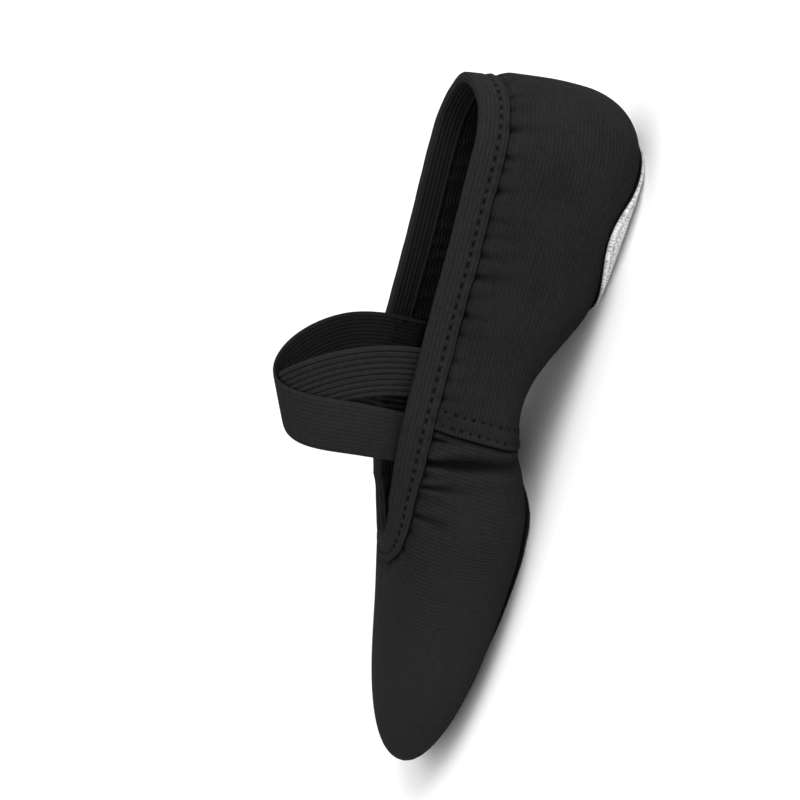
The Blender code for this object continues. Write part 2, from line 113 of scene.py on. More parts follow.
TOE_START = INNER_START + SIDE_RUN
TOE_TIP = TOE_START + TOE_TURN
OUTER_START = TOE_START + 2 * TOE_TURN
PERIMETER = OUTER_START + SIDE_RUN + HEEL_TURN
ROUND_STOPS = (0, INNER_START, TOE_START, OUTER_START, OUTER_START + SIDE_RUN, PERIMETER)
PLANE_X = (HEEL_CENTRE, HEEL_CENTRE, TOE_CENTRE, TOE_CENTRE, HEEL_CENTRE, HEEL_CENTRE)
PLANE_TURN = (180, 90, 90, -90, -90, -180)
REACH_UNIT = {
    "heel": HEEL_WIDTH / 2,
    "inner": BALL_WIDTH / 2,
    "outer": BALL_WIDTH / 2,
    "toe": TOE_REACH,
}


def way_round(zone, place):
    """Distance round the last of a rib; side places are millimetres from the heel."""
    if zone == "inner":
        return INNER_START + place - HEEL_CENTRE
    if zone == "outer":
        return OUTER_START + TOE_CENTRE - place
    if zone == "toe":
        return TOE_START + (90 - place) / 90 * TOE_TURN
    return ((180 - place) / 90 * HEEL_TURN) % PERIMETER


def closed_spline(knots, values, period):
    """Function that runs smoothly round through one row of values at each knot."""
    count = len(knots)
    spans = np.diff(np.append(knots, knots[0] + period))
    system = np.zeros((count, count))
    right = np.zeros_like(values)
    for i in range(count):
        following = (i + 1) % count
        system[i, i - 1] += spans[i - 1]
        system[i, i] += 2 * (spans[i - 1] + spans[i])
        system[i, following] += spans[i]
        rise_before = (values[i] - values[i - 1]) / spans[i - 1]
        right[i] = 6 * ((values[following] - values[i]) / spans[i] - rise_before)
    bend = np.linalg.solve(system, right)

    def values_at(distance):
        distance = (distance - knots[0]) % period + knots[0]
        i = np.searchsorted(knots, distance, side="right") - 1
        following = (i + 1) % count
        b = ((distance - knots[i]) / spans[i])[:, None]
        a = 1 - b
        bow = (a ** 3 - a) * bend[i] + (b ** 3 - b) * bend[following]
        return a * values[i] + b * values[following] + bow * spans[i][:, None] ** 2 / 6

    return values_at


def last_form():
    """Rib sizes in millimetres as a smooth function of the way round."""
    rows = []
    for row in SECTIONS:
        place = row.place * LENGTH if row.zone in ("inner", "outer") else row.place
        unit = REACH_UNIT[row.zone]
        rows.append((
            way_round(row.zone, place), row.reach * unit, row.widest_z * HEEL_HEIGHT,
            row.collar_reach * unit, row.collar_z * HEEL_HEIGHT, row.lean, row.flat,
        ))
    table = np.array(rows)
    return closed_spline(table[:, 0], table[:, 1:], PERIMETER)


LAST = last_form()
LEVEL_POINTS = 24
TURN_POINTS = 48
SIDE_POINTS = 90
Ribs = namedtuple("Ribs", "way x direction reach flat line normals lengths low_count")


def ease(value):
    """From 0 to 1 with level ends."""
    value = np.clip(value, 0.0, 1.0)
    return value * value * (3 - 2 * value)


def hump(distance, width):
    """From 1 in the middle down to 0 well beyond this width, along a bell."""
    return np.exp(-(distance / width) ** 2)


def quarter_round(inward, run):
    """From 0 on an edge to 1 this far inside it, along a quarter circle."""
    return np.sqrt(np.clip(1 - (1 - np.clip(inward / run, 0, 1)) ** 2, 0, 1))


def unit(vectors):
    """Vectors of length 1."""
    return vectors / np.linalg.norm(vectors, axis=-1, keepdims=True)


def ribs_at(way):
    """Ribs of the last at distances round it, each a line from the spine up to the collar."""
    way = np.asarray(way, float) % PERIMETER
    columns = (column[:, None] for column in LAST(way).T)
    reach, widest_z, collar_reach, collar_z, lean, flat = columns
    x = np.interp(way, ROUND_STOPS, PLANE_X)
    turn = np.radians(np.interp(way, ROUND_STOPS, PLANE_TURN))
    direction = np.column_stack((np.cos(turn), np.sin(turn)))
    share = np.clip((x - ARCH_START) / (ARCH_END - ARCH_START), 0, 1)
    arch = (0.5 - 0.5 * np.cos(2 * math.pi * share))[:, None]
    base_z = GROUND + ARCH_RISE * arch
    tilt = ARCH_TILT * arch * np.sign(direction[:, 1])[:, None]

    level = np.linspace(0, 1, LEVEL_POINTS)[None, :-1]
    bend = np.linspace(0, math.pi / 2, TURN_POINTS)[None, :]
    low_r = np.hstack((flat * reach * level, reach * (flat + (1 - flat) * np.sin(bend))))
    low_z = np.hstack((base_z + 0 * level, widest_z - (widest_z - base_z) * np.cos(bend)))
    low_z += tilt * low_r * (1 - (low_r / reach) ** 2)

    t = np.linspace(0, 1, SIDE_POINTS)[None, 1:]
    rise = HANDLE_SHARE * (collar_z - widest_z)
    run = HANDLE_SHARE * np.hypot(collar_reach - reach, collar_z - widest_z)
    weights = ((1 - t) ** 3, 3 * t * (1 - t) ** 2, 3 * t ** 2 * (1 - t), t ** 3)
    handles_r = (reach, reach, collar_reach + run * np.cos(np.radians(lean)), collar_reach)
    handles_z = (widest_z, widest_z + rise, collar_z - run * np.sin(np.radians(lean)), collar_z)
    high_r = sum(weight * handle for weight, handle in zip(weights, handles_r))
    high_z = sum(weight * handle for weight, handle in zip(weights, handles_z))

    line = np.stack((np.hstack((low_r, high_r)), np.hstack((low_z, high_z))), axis=-1)
    to_collar = lengths_of(line)[:, -1:] - lengths_of(line)
    pull = COLLAR_PULL * (1 - ease((to_collar - TAPE_OUTSIDE) / COLLAR_RELEASE))
    line = line - normals_of(line) * pull[:, :, None]
    normals = normals_of(line)
    normals[:, 0] = unit(np.hstack((tilt, -np.ones_like(tilt))))
    reach, flat = reach[:, 0], flat[:, 0]
    return Ribs(way, x, direction, reach, flat, line, normals, lengths_of(line), low_r.shape[1])


def lengths_of(line):
    """Distance along each rib line from its start."""
    steps = np.linalg.norm(np.diff(line, axis=1), axis=2)
    return np.hstack((np.zeros((len(line), 1)), np.cumsum(steps, axis=1)))


def normals_of(line):
    """Unit normals of rib lines, pointing out of the shoe."""
    along = unit(np.gradient(line, axis=1))
    return np.stack((along[:, :, 1], -along[:, :, 0]), axis=-1)


def along_ribs(ribs, lengths, values):
    """Values of the rib lines at given lengths along each."""
    rows = zip(lengths, ribs.lengths, values)
    return np.array([np.interp(row, known, value) for row, known, value in rows])


def lay(ribs, lengths, offset=0.0):
    """Points at lengths along the ribs, moved out of the surface by offset."""
    r, z = (
        along_ribs(ribs, lengths, ribs.line[:, :, axis])
        + along_ribs(ribs, lengths, ribs.normals[:, :, axis]) * offset
        for axis in (0, 1)
    )
    x = ribs.x[:, None] + r * ribs.direction[:, :1]
    return np.stack((x, r * ribs.direction[:, 1:], z), axis=-1)


def length_at_reach(ribs, reach):
    """Length along the underside of each rib where it has come out this far."""
    low = ribs.low_count
    rows = zip(reach, ribs.line[:, :low, 0], ribs.lengths[:, :low])
    return np.array([np.interp(value, line, lengths) for value, line, lengths in rows])


def heel_patch_reach(ribs, margin):
    """How far the heel oval, less a margin, reaches along each rib; 0 in front of its end."""
    half_length = HEEL_PATCH_LENGTH / 2 - margin
    half_width = HEEL_PATCH_WIDTH / 2 - margin
    back = (ribs.x - HEEL_PATCH_MIDDLE) / half_length
    along = ribs.direction[:, 0] / half_length
    across = ribs.direction[:, 1] / half_width
    square = along ** 2 + across ** 2
    root = np.sqrt(np.maximum((along * back) ** 2 + square * (1 - back ** 2), 0))
    return np.where(back < 1, (root - along * back) / square, 0.0)


def front_patch_reach(ribs, margin):
    """How far the forefoot patch, less a margin, reaches along each rib; 0 behind its end."""
    share = np.clip((TOE_CENTRE - ribs.x) / (TOE_CENTRE - FRONT_PATCH_END - margin), 0, 1)
    return (FRONT_PATCH_SHARE * ribs.reach - margin) * np.sqrt(1 - share ** 2)


OUTLINE_RIBS = 1440
outline = ribs_at(np.linspace(0, PERIMETER, OUTLINE_RIBS, endpoint=False))
outline_widest = lay(outline, outline.lengths[:, outline.low_count - 1:outline.low_count])[:, 0]
MIDDLE = (outline_widest.min(axis=0) + outline_widest.max(axis=0)) / 2 * (1, 1, 0)
tape_line = lay(outline, outline.lengths[:, -1:] - TAPE_OUTSIDE)[:, 0]
tape_steps = np.linalg.norm(np.diff(np.vstack((tape_line, tape_line[:1])), axis=0), axis=1)
TAPE_RUN = tape_steps.sum()
tape_places = np.concatenate(([0.0], np.cumsum(tape_steps)))


def tape_place(way):
    """Distance along the tape's lower edge, from the heel back."""
    known = np.append(outline.way, PERIMETER)
    return np.interp(np.asarray(way) % PERIMETER, known, tape_places)


WELD = 0.01
SHARP_EDGE = 60


def skin_mesh(name, loops, cloth, ring=False, spine=None, **marks):
    """Closed skin through section loops set side by side, with the cloth's own flat coordinates.

    A ring joins its last loop to its first. Where spine is true for two loops side by side, their
    two ends meet those of the other half of the shoe and stay open to be welded. Marks are shares
    from 0 to 1 at the points, which the material reads by name.
    """
    count, around = loops.shape[:2]
    i, j = np.meshgrid(np.arange(count if ring else count - 1), np.arange(around), indexing="ij")
    corners_i = np.stack((i, i, i + 1, i + 1), axis=-1).reshape(-1, 4)
    corners_j = np.stack((j, j + 1, j + 1, j), axis=-1).reshape(-1, 4) % around
    if spine is not None:
        open_here = spine[corners_i[:, 0]] & spine[corners_i[:, 2] % count]
        kept = ~((corners_j[:, 0] == around - 1) & open_here)
        corners_i, corners_j = corners_i[kept], corners_j[kept]
    faces = ((corners_i % count) * around + corners_j).tolist()
    flat = cloth[corners_i, corners_j].reshape(-1, 2)
    if not ring:
        for end in (0, count - 1):
            faces.append((end * around + np.arange(around)).tolist())
            flat = np.vstack((flat, cloth[end]))
    mesh = bpy.data.meshes.new(name)
    mesh.from_pydata(((loops.reshape(-1, 3) - MIDDLE) * MM).tolist(), [], faces)
    mesh.uv_layers.new(name="cloth").data.foreach_set("uv", flat.ravel())
    for label, shares in marks.items():
        mesh.attributes.new(label, "FLOAT", "POINT").data.foreach_set("value", shares.ravel())
    shell = bmesh.new()
    shell.from_mesh(mesh)
    bmesh.ops.remove_doubles(shell, verts=shell.verts, dist=WELD * MM)
    bmesh.ops.recalc_face_normals(shell, faces=shell.faces)
    shell.to_mesh(mesh)
    shell.free()
    mesh.shade_smooth()
    mesh.set_sharp_from_angle(angle=math.radians(SHARP_EDGE))
    return mesh


def add_piece(name, mesh, material, slot, *nodes):
    """Show one piece on the shoe's body, in place of the solids it stands for."""
    mesh.materials.append(material)
    piece = bpy.data.objects.new(name, mesh)
    bpy.context.collection.objects.link(piece)
    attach(piece, "root")
    if nodes:
        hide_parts(*nodes)


def shader_node(material, kind, inputs, **settings):
    """Add one shader node; each input is a value, or a socket to link from."""
    node = material.node_tree.nodes.new(kind)
    for key, value in settings.items():
        setattr(node, key, value)
    for place, value in inputs.items():
        if isinstance(value, bpy.types.NodeSocket):
            material.node_tree.links.new(value, node.inputs[place])
        else:
            node.inputs[place].default_value = value
    return node


def calc(material, operation, first, second=0.0):
    """One sum on sockets or numbers."""
    node = shader_node(material, "ShaderNodeMath", {0: first, 1: second}, operation=operation)
    return node.outputs[0]


def wave(material, coordinate, pitch):
    """Ridges at a pitch in millimetres, from -1 to 1."""
    return calc(material, "SINE", calc(material, "MULTIPLY", coordinate, 2 * math.pi / pitch))


CLOTH_SPECULAR = 0.02


def dyed_material(name, roughness):
    """Matte material with its shader, and the cloth's flat coordinates along and across."""
    material = bpy.data.materials.new(name)
    material.use_nodes = True
    shader = material.node_tree.nodes["Principled BSDF"]
    shader.inputs["Roughness"].default_value = roughness
    shader.inputs["Specular IOR Level"].default_value = CLOTH_SPECULAR
    flat = shader_node(material, "ShaderNodeUVMap", {}, uv_map="cloth").outputs[0]
    split = shader_node(material, "ShaderNodeSeparateXYZ", {0: flat})
    return material, shader, flat, split.outputs[0], split.outputs[1]


def raise_grain(material, shader, height, depth):
    """Stand a height from -1 to 1 up as a relief of this depth in millimetres."""
    inputs = {"Strength": 1.0, "Distance": depth * MM, "Height": height}
    bump = shader_node(material, "ShaderNodeBump", inputs)
    material.node_tree.links.new(bump.outputs[0], shader.inputs["Normal"])


def mark(material, name):
    """Share that the mesh holds at its points under this name."""
    return shader_node(material, "ShaderNodeAttribute", {}, attribute_name=name).outputs["Fac"]


# Painted shade: near-black colour mixed into the hollows of the cloth.
PAINTED_SHADE_BLACK = (0.0015, 0.0015, 0.0015)


def shade_between(material, shader, dark, light, share, deep=PAINTED_SHADE_BLACK):
    """Colour between two shades by a share, mixed towards a painted shade in the hollows of the cloth
    by the mark at the points.
    """
    shades = {0: share, 6: (*dark, 1), 7: (*light, 1)}
    mixed = shader_node(material, "ShaderNodeMix", shades, data_type="RGBA").outputs[2]
    kept = calc(material, "SUBTRACT", 1.0, mark(material, "hollow"))
    tinted = {0: kept, 6: (*deep, 1), 7: mixed}
    tint = shader_node(material, "ShaderNodeMix", tinted, data_type="RGBA").outputs[2]
    material.node_tree.links.new(tint, shader.inputs["Base Color"])


CANVAS_DARK = (0.0090, 0.0090, 0.0092)
CANVAS_LIGHT = (0.0164, 0.0164, 0.0167)
CANVAS_ROUGHNESS = 0.88
RIB_PITCH = 1.40
RIB_HEIGHT = 0.60
YARN_PITCH = 0.80
YARN_HEIGHT = 0.55
SLUB_SPOTS = 0.45
SLUB_DRIFT = 0.9
GRAIN_SHADE = 0.38
STRETCH_SPOTS = 0.055
LOOSE_RANGE = (0.38, 0.62, 0.25, 1.0)
UNEVEN_RANGE = (0.35, 0.65, 0.55, 1.35)
CROSSING_RANGE = (-1.0, 1.0, 0.2, 1.0)
SMOOTH_FROM = SEAM + 45.0
SMOOTH_RUN = 40.0
SMOOTH_SHARE = 0.35
SMOOTH_PAINTED_LIGHT = 0.30
TIGHT_SHARE = 0.30
FRONT_GRAIN = 0.14


def noise(material, flat, scale, detail):
    """Soft random spots on the flat cloth, from 0 to 1, this many to a millimetre."""
    inputs = {"Vector": flat, "Scale": scale, "Detail": detail}
    return shader_node(material, "ShaderNodeTexNoise", inputs).outputs[0]


def between(material, value, low, high, first, last):
    """Value taken from the range low to high into the range first to last, and held there."""
    inputs = {"Value": value, "From Min": low, "From Max": high, "To Min": first, "To Max": last}
    return shader_node(material, "ShaderNodeMapRange", inputs).outputs[0]


def added(material, value, share, base):
    """A share of one value on top of another."""
    return calc(material, "ADD", calc(material, "MULTIPLY", value, share), base)


def canvas_material(name, ribs_along, relief, smooth_from):
    """Black canvas with fine ribs, crossed by single yarns that show where it is less stretched.

    Beyond one place it is drawn smooth over the toe, where painted light makes it lighter, and the
    tight mark flattens it as well.
    """
    material, shader, flat, u, v = dyed_material(name, CANVAS_ROUGHNESS)
    across, along = (v, u) if ribs_along else (u, v)
    slub = noise(material, flat, SLUB_SPOTS, 4.0)
    drift = calc(material, "MULTIPLY", calc(material, "SUBTRACT", slub, 0.5), SLUB_DRIFT)
    rib = wave(material, calc(material, "ADD", across, drift), RIB_PITCH)
    yarn = wave(material, calc(material, "ADD", along, drift), YARN_PITCH)
    stretch = noise(material, flat, STRETCH_SPOTS, 1.5)
    loose = calc(material, "MULTIPLY", yarn, between(material, stretch, *LOOSE_RANGE))
    crossed = calc(material, "MULTIPLY", loose, between(material, rib, *CROSSING_RANGE))
    woven = added(material, rib, RIB_HEIGHT, calc(material, "MULTIPLY", crossed, YARN_HEIGHT))
    smooth_to = smooth_from + SMOOTH_RUN
    drawn = between(material, u, smooth_from, smooth_to, 1.0, SMOOTH_SHARE)
    tight = between(material, mark(material, "tight"), 0.0, 1.0, 1.0, TIGHT_SHARE)
    uneven = between(material, stretch, *UNEVEN_RANGE)
    left = calc(material, "MULTIPLY", calc(material, "MULTIPLY", drawn, tight), uneven)
    height = calc(material, "MULTIPLY", woven, left)
    raise_grain(material, shader, height, relief)
    # Painted light makes the smooth canvas over the toe lighter. The rib and yarn ridges are painted
    # lighter and their grooves darker as painted shade, over the slub spots of the thread's own tone.
    painted_light = between(material, u, smooth_from, smooth_to, 0.0, SMOOTH_PAINTED_LIGHT)
    share = added(material, height, GRAIN_SHADE, calc(material, "ADD", slub, painted_light))
    shade_between(material, shader, CANVAS_DARK, CANVAS_LIGHT, share)
    return material


# Gathers: the collar tape is sewn on stretched, so it tucks the canvas into a notch at every
# few stitches, and a soft fold runs down from each notch. Each has its place along the tape.
GATHER_PITCH = 7.0
NOTCH_DEPTH = 1.4
NOTCH_WIDTH = 1.7
NOTCH_RUN = 1.2
FOLD_DEPTH = 1.10
FOLD_WIDTH = 0.85
FOLD_SPREAD = 0.12
FOLD_RUN = 6.0
FOLD_END = 45.0
FOLD_FADE = 15.0
SHIFT_RANGE = (-0.22, 0.22)
STRENGTH_RANGE = (0.45, 1.30)
RUN_RANGE = (0.6, 2.2)
SLANT_RANGE = (-0.36, 0.02)
chance = np.random.default_rng(11)
gather_count = round(TAPE_RUN / GATHER_PITCH)
gather_shifts = chance.uniform(*SHIFT_RANGE, gather_count)
gather_places = (np.arange(gather_count) + gather_shifts) * TAPE_RUN / gather_count
gather_strengths = chance.uniform(*STRENGTH_RANGE, gather_count)
gather_runs = FOLD_RUN * chance.uniform(*RUN_RANGE, gather_count)
gather_slants = chance.uniform(*SLANT_RANGE, gather_count)


def gathers(place, below, side):
    """Relief of the gathers at places along the tape and distances below its edge."""
    relief = np.zeros(np.broadcast(place, below).shape)
    down = np.maximum(below, 0)
    for at, strength, run, slant in zip(gather_places, gather_strengths, gather_runs, gather_slants):
        apart = (place - at + TAPE_RUN / 2) % TAPE_RUN - TAPE_RUN / 2
        apart = apart - side * slant * down
        notch = NOTCH_DEPTH * hump(apart, NOTCH_WIDTH) * np.exp(-down / NOTCH_RUN)
        fold = FOLD_DEPTH * hump(apart, FOLD_WIDTH + FOLD_SPREAD * down) * np.exp(-down / run)
        relief -= strength * (notch + fold)
    return relief * ease((FOLD_END - down) / FOLD_FADE)


TUCK_LIMIT = 1.7


def tucked(relief):
    """Cloth follows a shallow tuck fully and a deep one less and less."""
    return TUCK_LIMIT * np.tanh(relief / TUCK_LIMIT)


PUFF_HEIGHT = 0.75
PUFF_START = 0.3
PUFF_RISE = 3.0
PUFF_RUN = 9.0


def puff(below):
    """Canvas swells a little where the tape lets it go."""
    swell = PUFF_HEIGHT * ease((below + PUFF_START) / PUFF_RISE)
    return swell * np.exp(-np.maximum(below - PUFF_RISE, 0) / PUFF_RUN)


Crease = namedtuple("Crease", "side x x_end run bow trough width")
CREASES = [
    Crease(1, SEAM + 3.4, SEAM + 2.6, 8.0, 0.0, 1.15, 1.2),
    Crease(1, SEAM + 12.0, SEAM + 3.6, 60.0, -2.4, 1.90, 2.5),
    Crease(1, SEAM + 20.5, SEAM + 17.4, 22.0, -1.0, 1.30, 1.8),
    Crease(1, SEAM + 31.0, SEAM + 31.0, 22.0, -1.0, 0.80, 2.2),
    Crease(-1, SEAM + 4.0, SEAM + 3.0, 8.0, 0.0, 0.70, 1.2),
    Crease(-1, SEAM + 13.5, SEAM + 7.0, 44.0, -1.5, 1.05, 2.4),
    Crease(-1, SEAM + 22.0, SEAM + 21.0, 10.0, 0.0, 0.70, 1.3),
]
CREASE_START = 0.42
CREASE_OPENING = 15.0
CREASE_HOLD = 0.15
RIDGE_HEIGHT = 0.35
RIDGE_PLACE = 1.9
RIDGE_WIDTH = 1.1


def creases(points, below):
    """Relief of the creases: a trough between two low ridges, sharp at the tape, that dies away."""
    relief = np.zeros(below.shape)
    for crease in CREASES:
        run = np.clip(below / crease.run, 0, 1)
        middle = crease.x + (crease.x_end - crease.x) * run + crease.bow * np.sin(math.pi * run)
        spread = crease.width * (CREASE_START + (1 - CREASE_START) * ease(below / CREASE_OPENING))
        apart = (points[:, :, 0] - middle) / spread
        form = hump(apart, 1.0) - RIDGE_HEIGHT * hump(np.abs(apart) - RIDGE_PLACE, RIDGE_WIDTH)
        dying = ease((below / crease.run - CREASE_HOLD) / (1 - CREASE_HOLD))
        fade = ease((below + 1) / 2) * (1 - dying)
        relief -= crease.trough * form * fade * (points[:, :, 1] * crease.side > 0)
    return relief


Wave = namedtuple("Wave", "height over_x over_y over_z start")
WAVES = [
    Wave(0.10, 7.3, math.inf, 9.1, 0.0),
    Wave(0.10, 11.9, -8.3, math.inf, 1.3),
    Wave(0.09, 19.0, 12.1, 5.7, 0.6),
]
WAVE_RISE = 10.0


def soft_waves(points):
    """Slight unevenness of canvas that is drawn over a form by hand; it is level near the floor."""
    x, y, z = np.moveaxis(points, 2, 0)
    total = np.zeros(x.shape)
    for row in WAVES:
        total += row.height * np.sin(x / row.over_x + y / row.over_y + z / row.over_z + row.start)
    return total * ease((z - GROUND) / WAVE_RISE)


PLEAT_COUNT = 30
PLEAT_DEPTH = 0.75
PLEAT_WIDTH = 0.16
PLEAT_RUN = 6.0
PLEAT_SPREAD = 78
PLEAT_EASE = 12


def toe_pleats(ribs, lengths):
    """Small tucks where the canvas is drawn in under the toe, deepest at the edge of the patch."""
    turn = np.degrees(np.arctan2(ribs.direction[:, 1], ribs.direction[:, 0]))[:, None]
    apart = (turn / (2 * PLEAT_SPREAD) * PLEAT_COUNT) % 1.0 - 0.5
    beyond = lengths - length_at_reach(ribs, front_patch_reach(ribs, 0.0))[:, None]
    held = ease((PLEAT_SPREAD - np.abs(turn)) / PLEAT_EASE)
    tuck = hump(apart, PLEAT_WIDTH) * np.exp(-np.maximum(beyond, 0) / PLEAT_RUN)
    return -PLEAT_DEPTH * held * tuck


HIDDEN_ROWS = 6
COLLAR_ROWS = 52
COLLAR_BAND = 32.0
COLLAR_CROWDING = 1.35
SIDE_ROWS = 58
INSIDE_ROWS = 20


def panel_rows(ribs, first):
    """Lengths along the ribs of a panel's outside, from the sole up, and of its inside, back down."""
    full = ribs.lengths[:, -1]
    opening = np.maximum(heel_patch_reach(ribs, PATCH_MARGIN), front_patch_reach(ribs, PATCH_MARGIN))
    start = length_at_reach(ribs, opening)[:, None]
    side = start + (full[:, None] - COLLAR_BAND - start) * np.linspace(0, 1, SIDE_ROWS)[:-1]
    crowded = np.linspace(1, 0, COLLAR_ROWS) ** COLLAR_CROWDING
    band = full[:, None] - (first + (COLLAR_BAND - first) * crowded)
    hidden = full[:, None] - np.linspace(first, 0, HIDDEN_ROWS + 1)[1:]
    inside = full[:, None] + (start - full[:, None]) * np.linspace(0, 1, INSIDE_ROWS)
    return np.hstack((side, band, hidden)), inside, opening <= 0


FRONT_START = SEAM - LAP + 1.0
FRONT_STEP = 0.42
PANEL_TOP = TAPE_OUTSIDE - 1.0
half_way = TOE_TURN + TOE_CENTRE - FRONT_START
front_count = 2 * round(half_way / FRONT_STEP) + 1
front_ribs = ribs_at(TOE_TIP + np.linspace(-half_way, half_way, front_count))
front_rows, front_inside, front_spine = panel_rows(front_ribs, PANEL_TOP)
front_side = np.sign(front_ribs.direction[:, 1:])
front_along = tape_place(front_ribs.way)[:, None]
THROAT_START = TOE_CENTRE - 3.0
THROAT_RUN = 18.0
FRONT_QUIET = 0.25
TAPE_HOLD = 2.0
LAP_HOLD = 2.0
LAP_RELEASE = 3.0


def quiet_toe(points):
    """The tape is sewn on with less stretch round the throat."""
    return FRONT_QUIET + (1 - FRONT_QUIET) * ease((THROAT_START - points[:, :, 0]) / THROAT_RUN)


def clear_of_tape(below):
    """From 0 under the tape to 1 at its lower edge."""
    return ease((below + TAPE_HOLD) / TAPE_HOLD)


def clear_of_lap(points):
    """From 0 under the rear panel to 1 just in front of it."""
    return ease((points[:, :, 0] - SEAM + LAP_HOLD) / LAP_RELEASE)


def front_tucks(rows):
    """Gathers and creases of the front panel at lengths along its ribs."""
    points = lay(front_ribs, rows)
    below = front_ribs.lengths[:, -1:] - rows - TAPE_OUTSIDE
    pulled = gathers(front_along, below, front_side) * quiet_toe(points)
    return tucked(pulled + creases(points, below)) * clear_of_tape(below) * clear_of_lap(points)


FRONT_PUFF = 0.5
SEAM_DIP = 0.35
SEAM_DIP_PLACE = 0.2
SEAM_DIP_WIDTH = 0.9
front_depth = front_ribs.lengths[:, -1:] - front_rows
front_points = lay(front_ribs, front_rows)
front_below = front_depth - TAPE_OUTSIDE
ahead = front_points[:, :, 0] - SEAM
shown = clear_of_tape(front_below) * clear_of_lap(front_points)
tucks = front_tucks(front_rows)
front_relief = tucks + FRONT_PUFF * shown * puff(front_below) * quiet_toe(front_points)
front_relief += toe_pleats(front_ribs, front_rows) + soft_waves(front_points) * shown
front_relief -= SEAM_DIP * hump(ahead - SEAM_DIP_PLACE, SEAM_DIP_WIDTH)
front_out = lay(front_ribs, front_rows, front_relief)
front_in = lay(front_ribs, front_inside, np.minimum(front_tucks(front_inside), 0) - WALL)


def drawn_flat(ribs, depth):
    """Canvas laid flat again: each rib is turned out from the collar into one plane."""
    collar = lay(ribs, ribs.lengths[:, -1:])
    return collar[:, :, :2] + depth[:, :, None] * ribs.direction[:, None, :]


SHADE_DEPTH = 1.5
SHADE_POWER = 1.5
SHADE_MOST = 0.85
SEAM_SHADE = 0.95
SEAM_SHADE_FROM = 0.3
SEAM_SHADE_WIDTH = 0.7
TIGHT_FROM = 34.0
TIGHT_RUN = 18.0


def tuck_shade(relief):
    """How much painted shade darkens a tuck inside, by its depth."""
    return (np.maximum(-relief, 0) / SHADE_DEPTH) ** SHADE_POWER


def panel_skin(name, outside, inside, flat, spine, **marks):
    """Skin of a panel from its outside and its inside; the marks are for the outside alone."""
    unmarked = np.zeros(inside.shape[:2])
    shares = {label: np.hstack((share, unmarked)) for label, share in marks.items()}
    return skin_mesh(name, np.hstack((outside, inside)), flat, spine=spine, **shares)


front_flat = np.hstack((
    drawn_flat(front_ribs, front_depth),
    drawn_flat(front_ribs, front_ribs.lengths[:, -1:] - front_inside),
))
# Painted shadow: a dark strip on the front panel just in front of the folded edge of the rear panel.
# Painted shade darkens its tucks and creases.
beside_seam = hump(np.maximum(ahead - SEAM_SHADE_FROM, 0), SEAM_SHADE_WIDTH)
seam_shade = SEAM_SHADE * beside_seam * (front_depth > TAPE_OUTSIDE)
front_hollow = np.clip(tuck_shade(np.minimum(tucks, front_relief)), 0, SHADE_MOST)
front_tight = ease((front_depth - TIGHT_FROM) / TIGHT_RUN)
front_mesh = panel_skin(
    "front_panel", front_out, front_in, front_flat, front_spine,
    hollow=np.maximum(front_hollow, seam_shade), tight=front_tight,
)
front_canvas = canvas_material("canvas_across", False, FRONT_GRAIN, SMOOTH_FROM)
add_piece("front_panel", front_mesh, front_canvas, "canvas", "upper")

# Rear panel: a second piece of the same canvas, wrapped round the heel with its ribs along the
# shoe. Its front edge is folded under and lapped over the front panel at the arch, where two
# rows of stitches draw it in.
REAR_STEP = 0.45
REAR_GRAIN = 0.20
PANEL_STEP = 0.7
PANEL_FADE = 0.15 * LENGTH
HEM_ROLL = 0.6
HEM_ROLL_LEAST = 0.05
HEM_ROLL_RIBS = 7
HEM_STEP = 0.32
HEM_START = HEM_ROLL + 0.3
HEM_REACH = LAP + 2
HEM_SEAT = 0.06
HEM_SWELL = 0.22
HEM_SWELL_PLACE = 1.0
HEM_SWELL_WIDTH = 1.0
LAP_SWELL = 0.12
LAP_SWELL_PLACE = 5.2
LAP_SWELL_WIDTH = 1.8
HEM_HOLD = 1.0
HEM_RELEASE = 10.0
HEM_UNDER_TAPE = 3.0
LAP_END = LAP + 0.6
LAP_END_RUN = 1.2
SEAM_ROWS = (2.2, 6.8)
SEAM_FROM = TAPE_OUTSIDE + 1.4
SEAM_PITCH = 3.2
SEAM_END = 1.0
CHANNEL_DEPTH = 0.16
CHANNEL_WIDTH = 0.9
PIT_DEPTH = 0.30
PIT_WIDTH = 0.48
PIT_SHADE = 0.8
PIT_BEAT = 0.1
PIT_EASE = 0.6
PIT_END = 0.4
PIT_END_RUN = 0.8
PULL_MEAN = 0.62
PULL_SPREAD = 0.38
PULL_TURN = 2.4
PULL_ROW_TURN = 1.9
rear_reach = HEEL_TURN + SEAM - HEEL_CENTRE
hem_rest = np.arange(HEM_START, HEM_REACH, HEM_STEP)
hem_ways = np.concatenate((np.linspace(0, HEM_ROLL, HEM_ROLL_RIBS), hem_rest))
rear_edge = rear_reach - hem_ways
rear_count = round((rear_reach - LAP) / REAR_STEP)
rear_half = np.linspace(0, rear_edge[-1] - REAR_STEP / 2, rear_count)
rear_ways = np.concatenate((-rear_edge, -rear_half[:0:-1], rear_half, rear_edge[::-1]))
rear_ribs = ribs_at(rear_ways)
rear_rows, rear_inside, rear_spine = panel_rows(rear_ribs, PANEL_TOP)
rear_full = rear_ribs.lengths[:, -1:]
rear_depth = rear_full - rear_rows
rear_below = rear_depth - TAPE_OUTSIDE
rear_points = lay(rear_ribs, rear_rows)


def panel_step(x):
    """Height of the rear panel over the front one; it levels out towards the heel."""
    return PANEL_STEP * (1 - ease((SEAM - x) / PANEL_FADE)) * (x <= SEAM)


def seam_stitch_count(full):
    """Whole stitches from the tape down to the middle of the sole, on ribs of this full length."""
    return np.floor((full - SEAM_FROM - SEAM_END) / SEAM_PITCH)


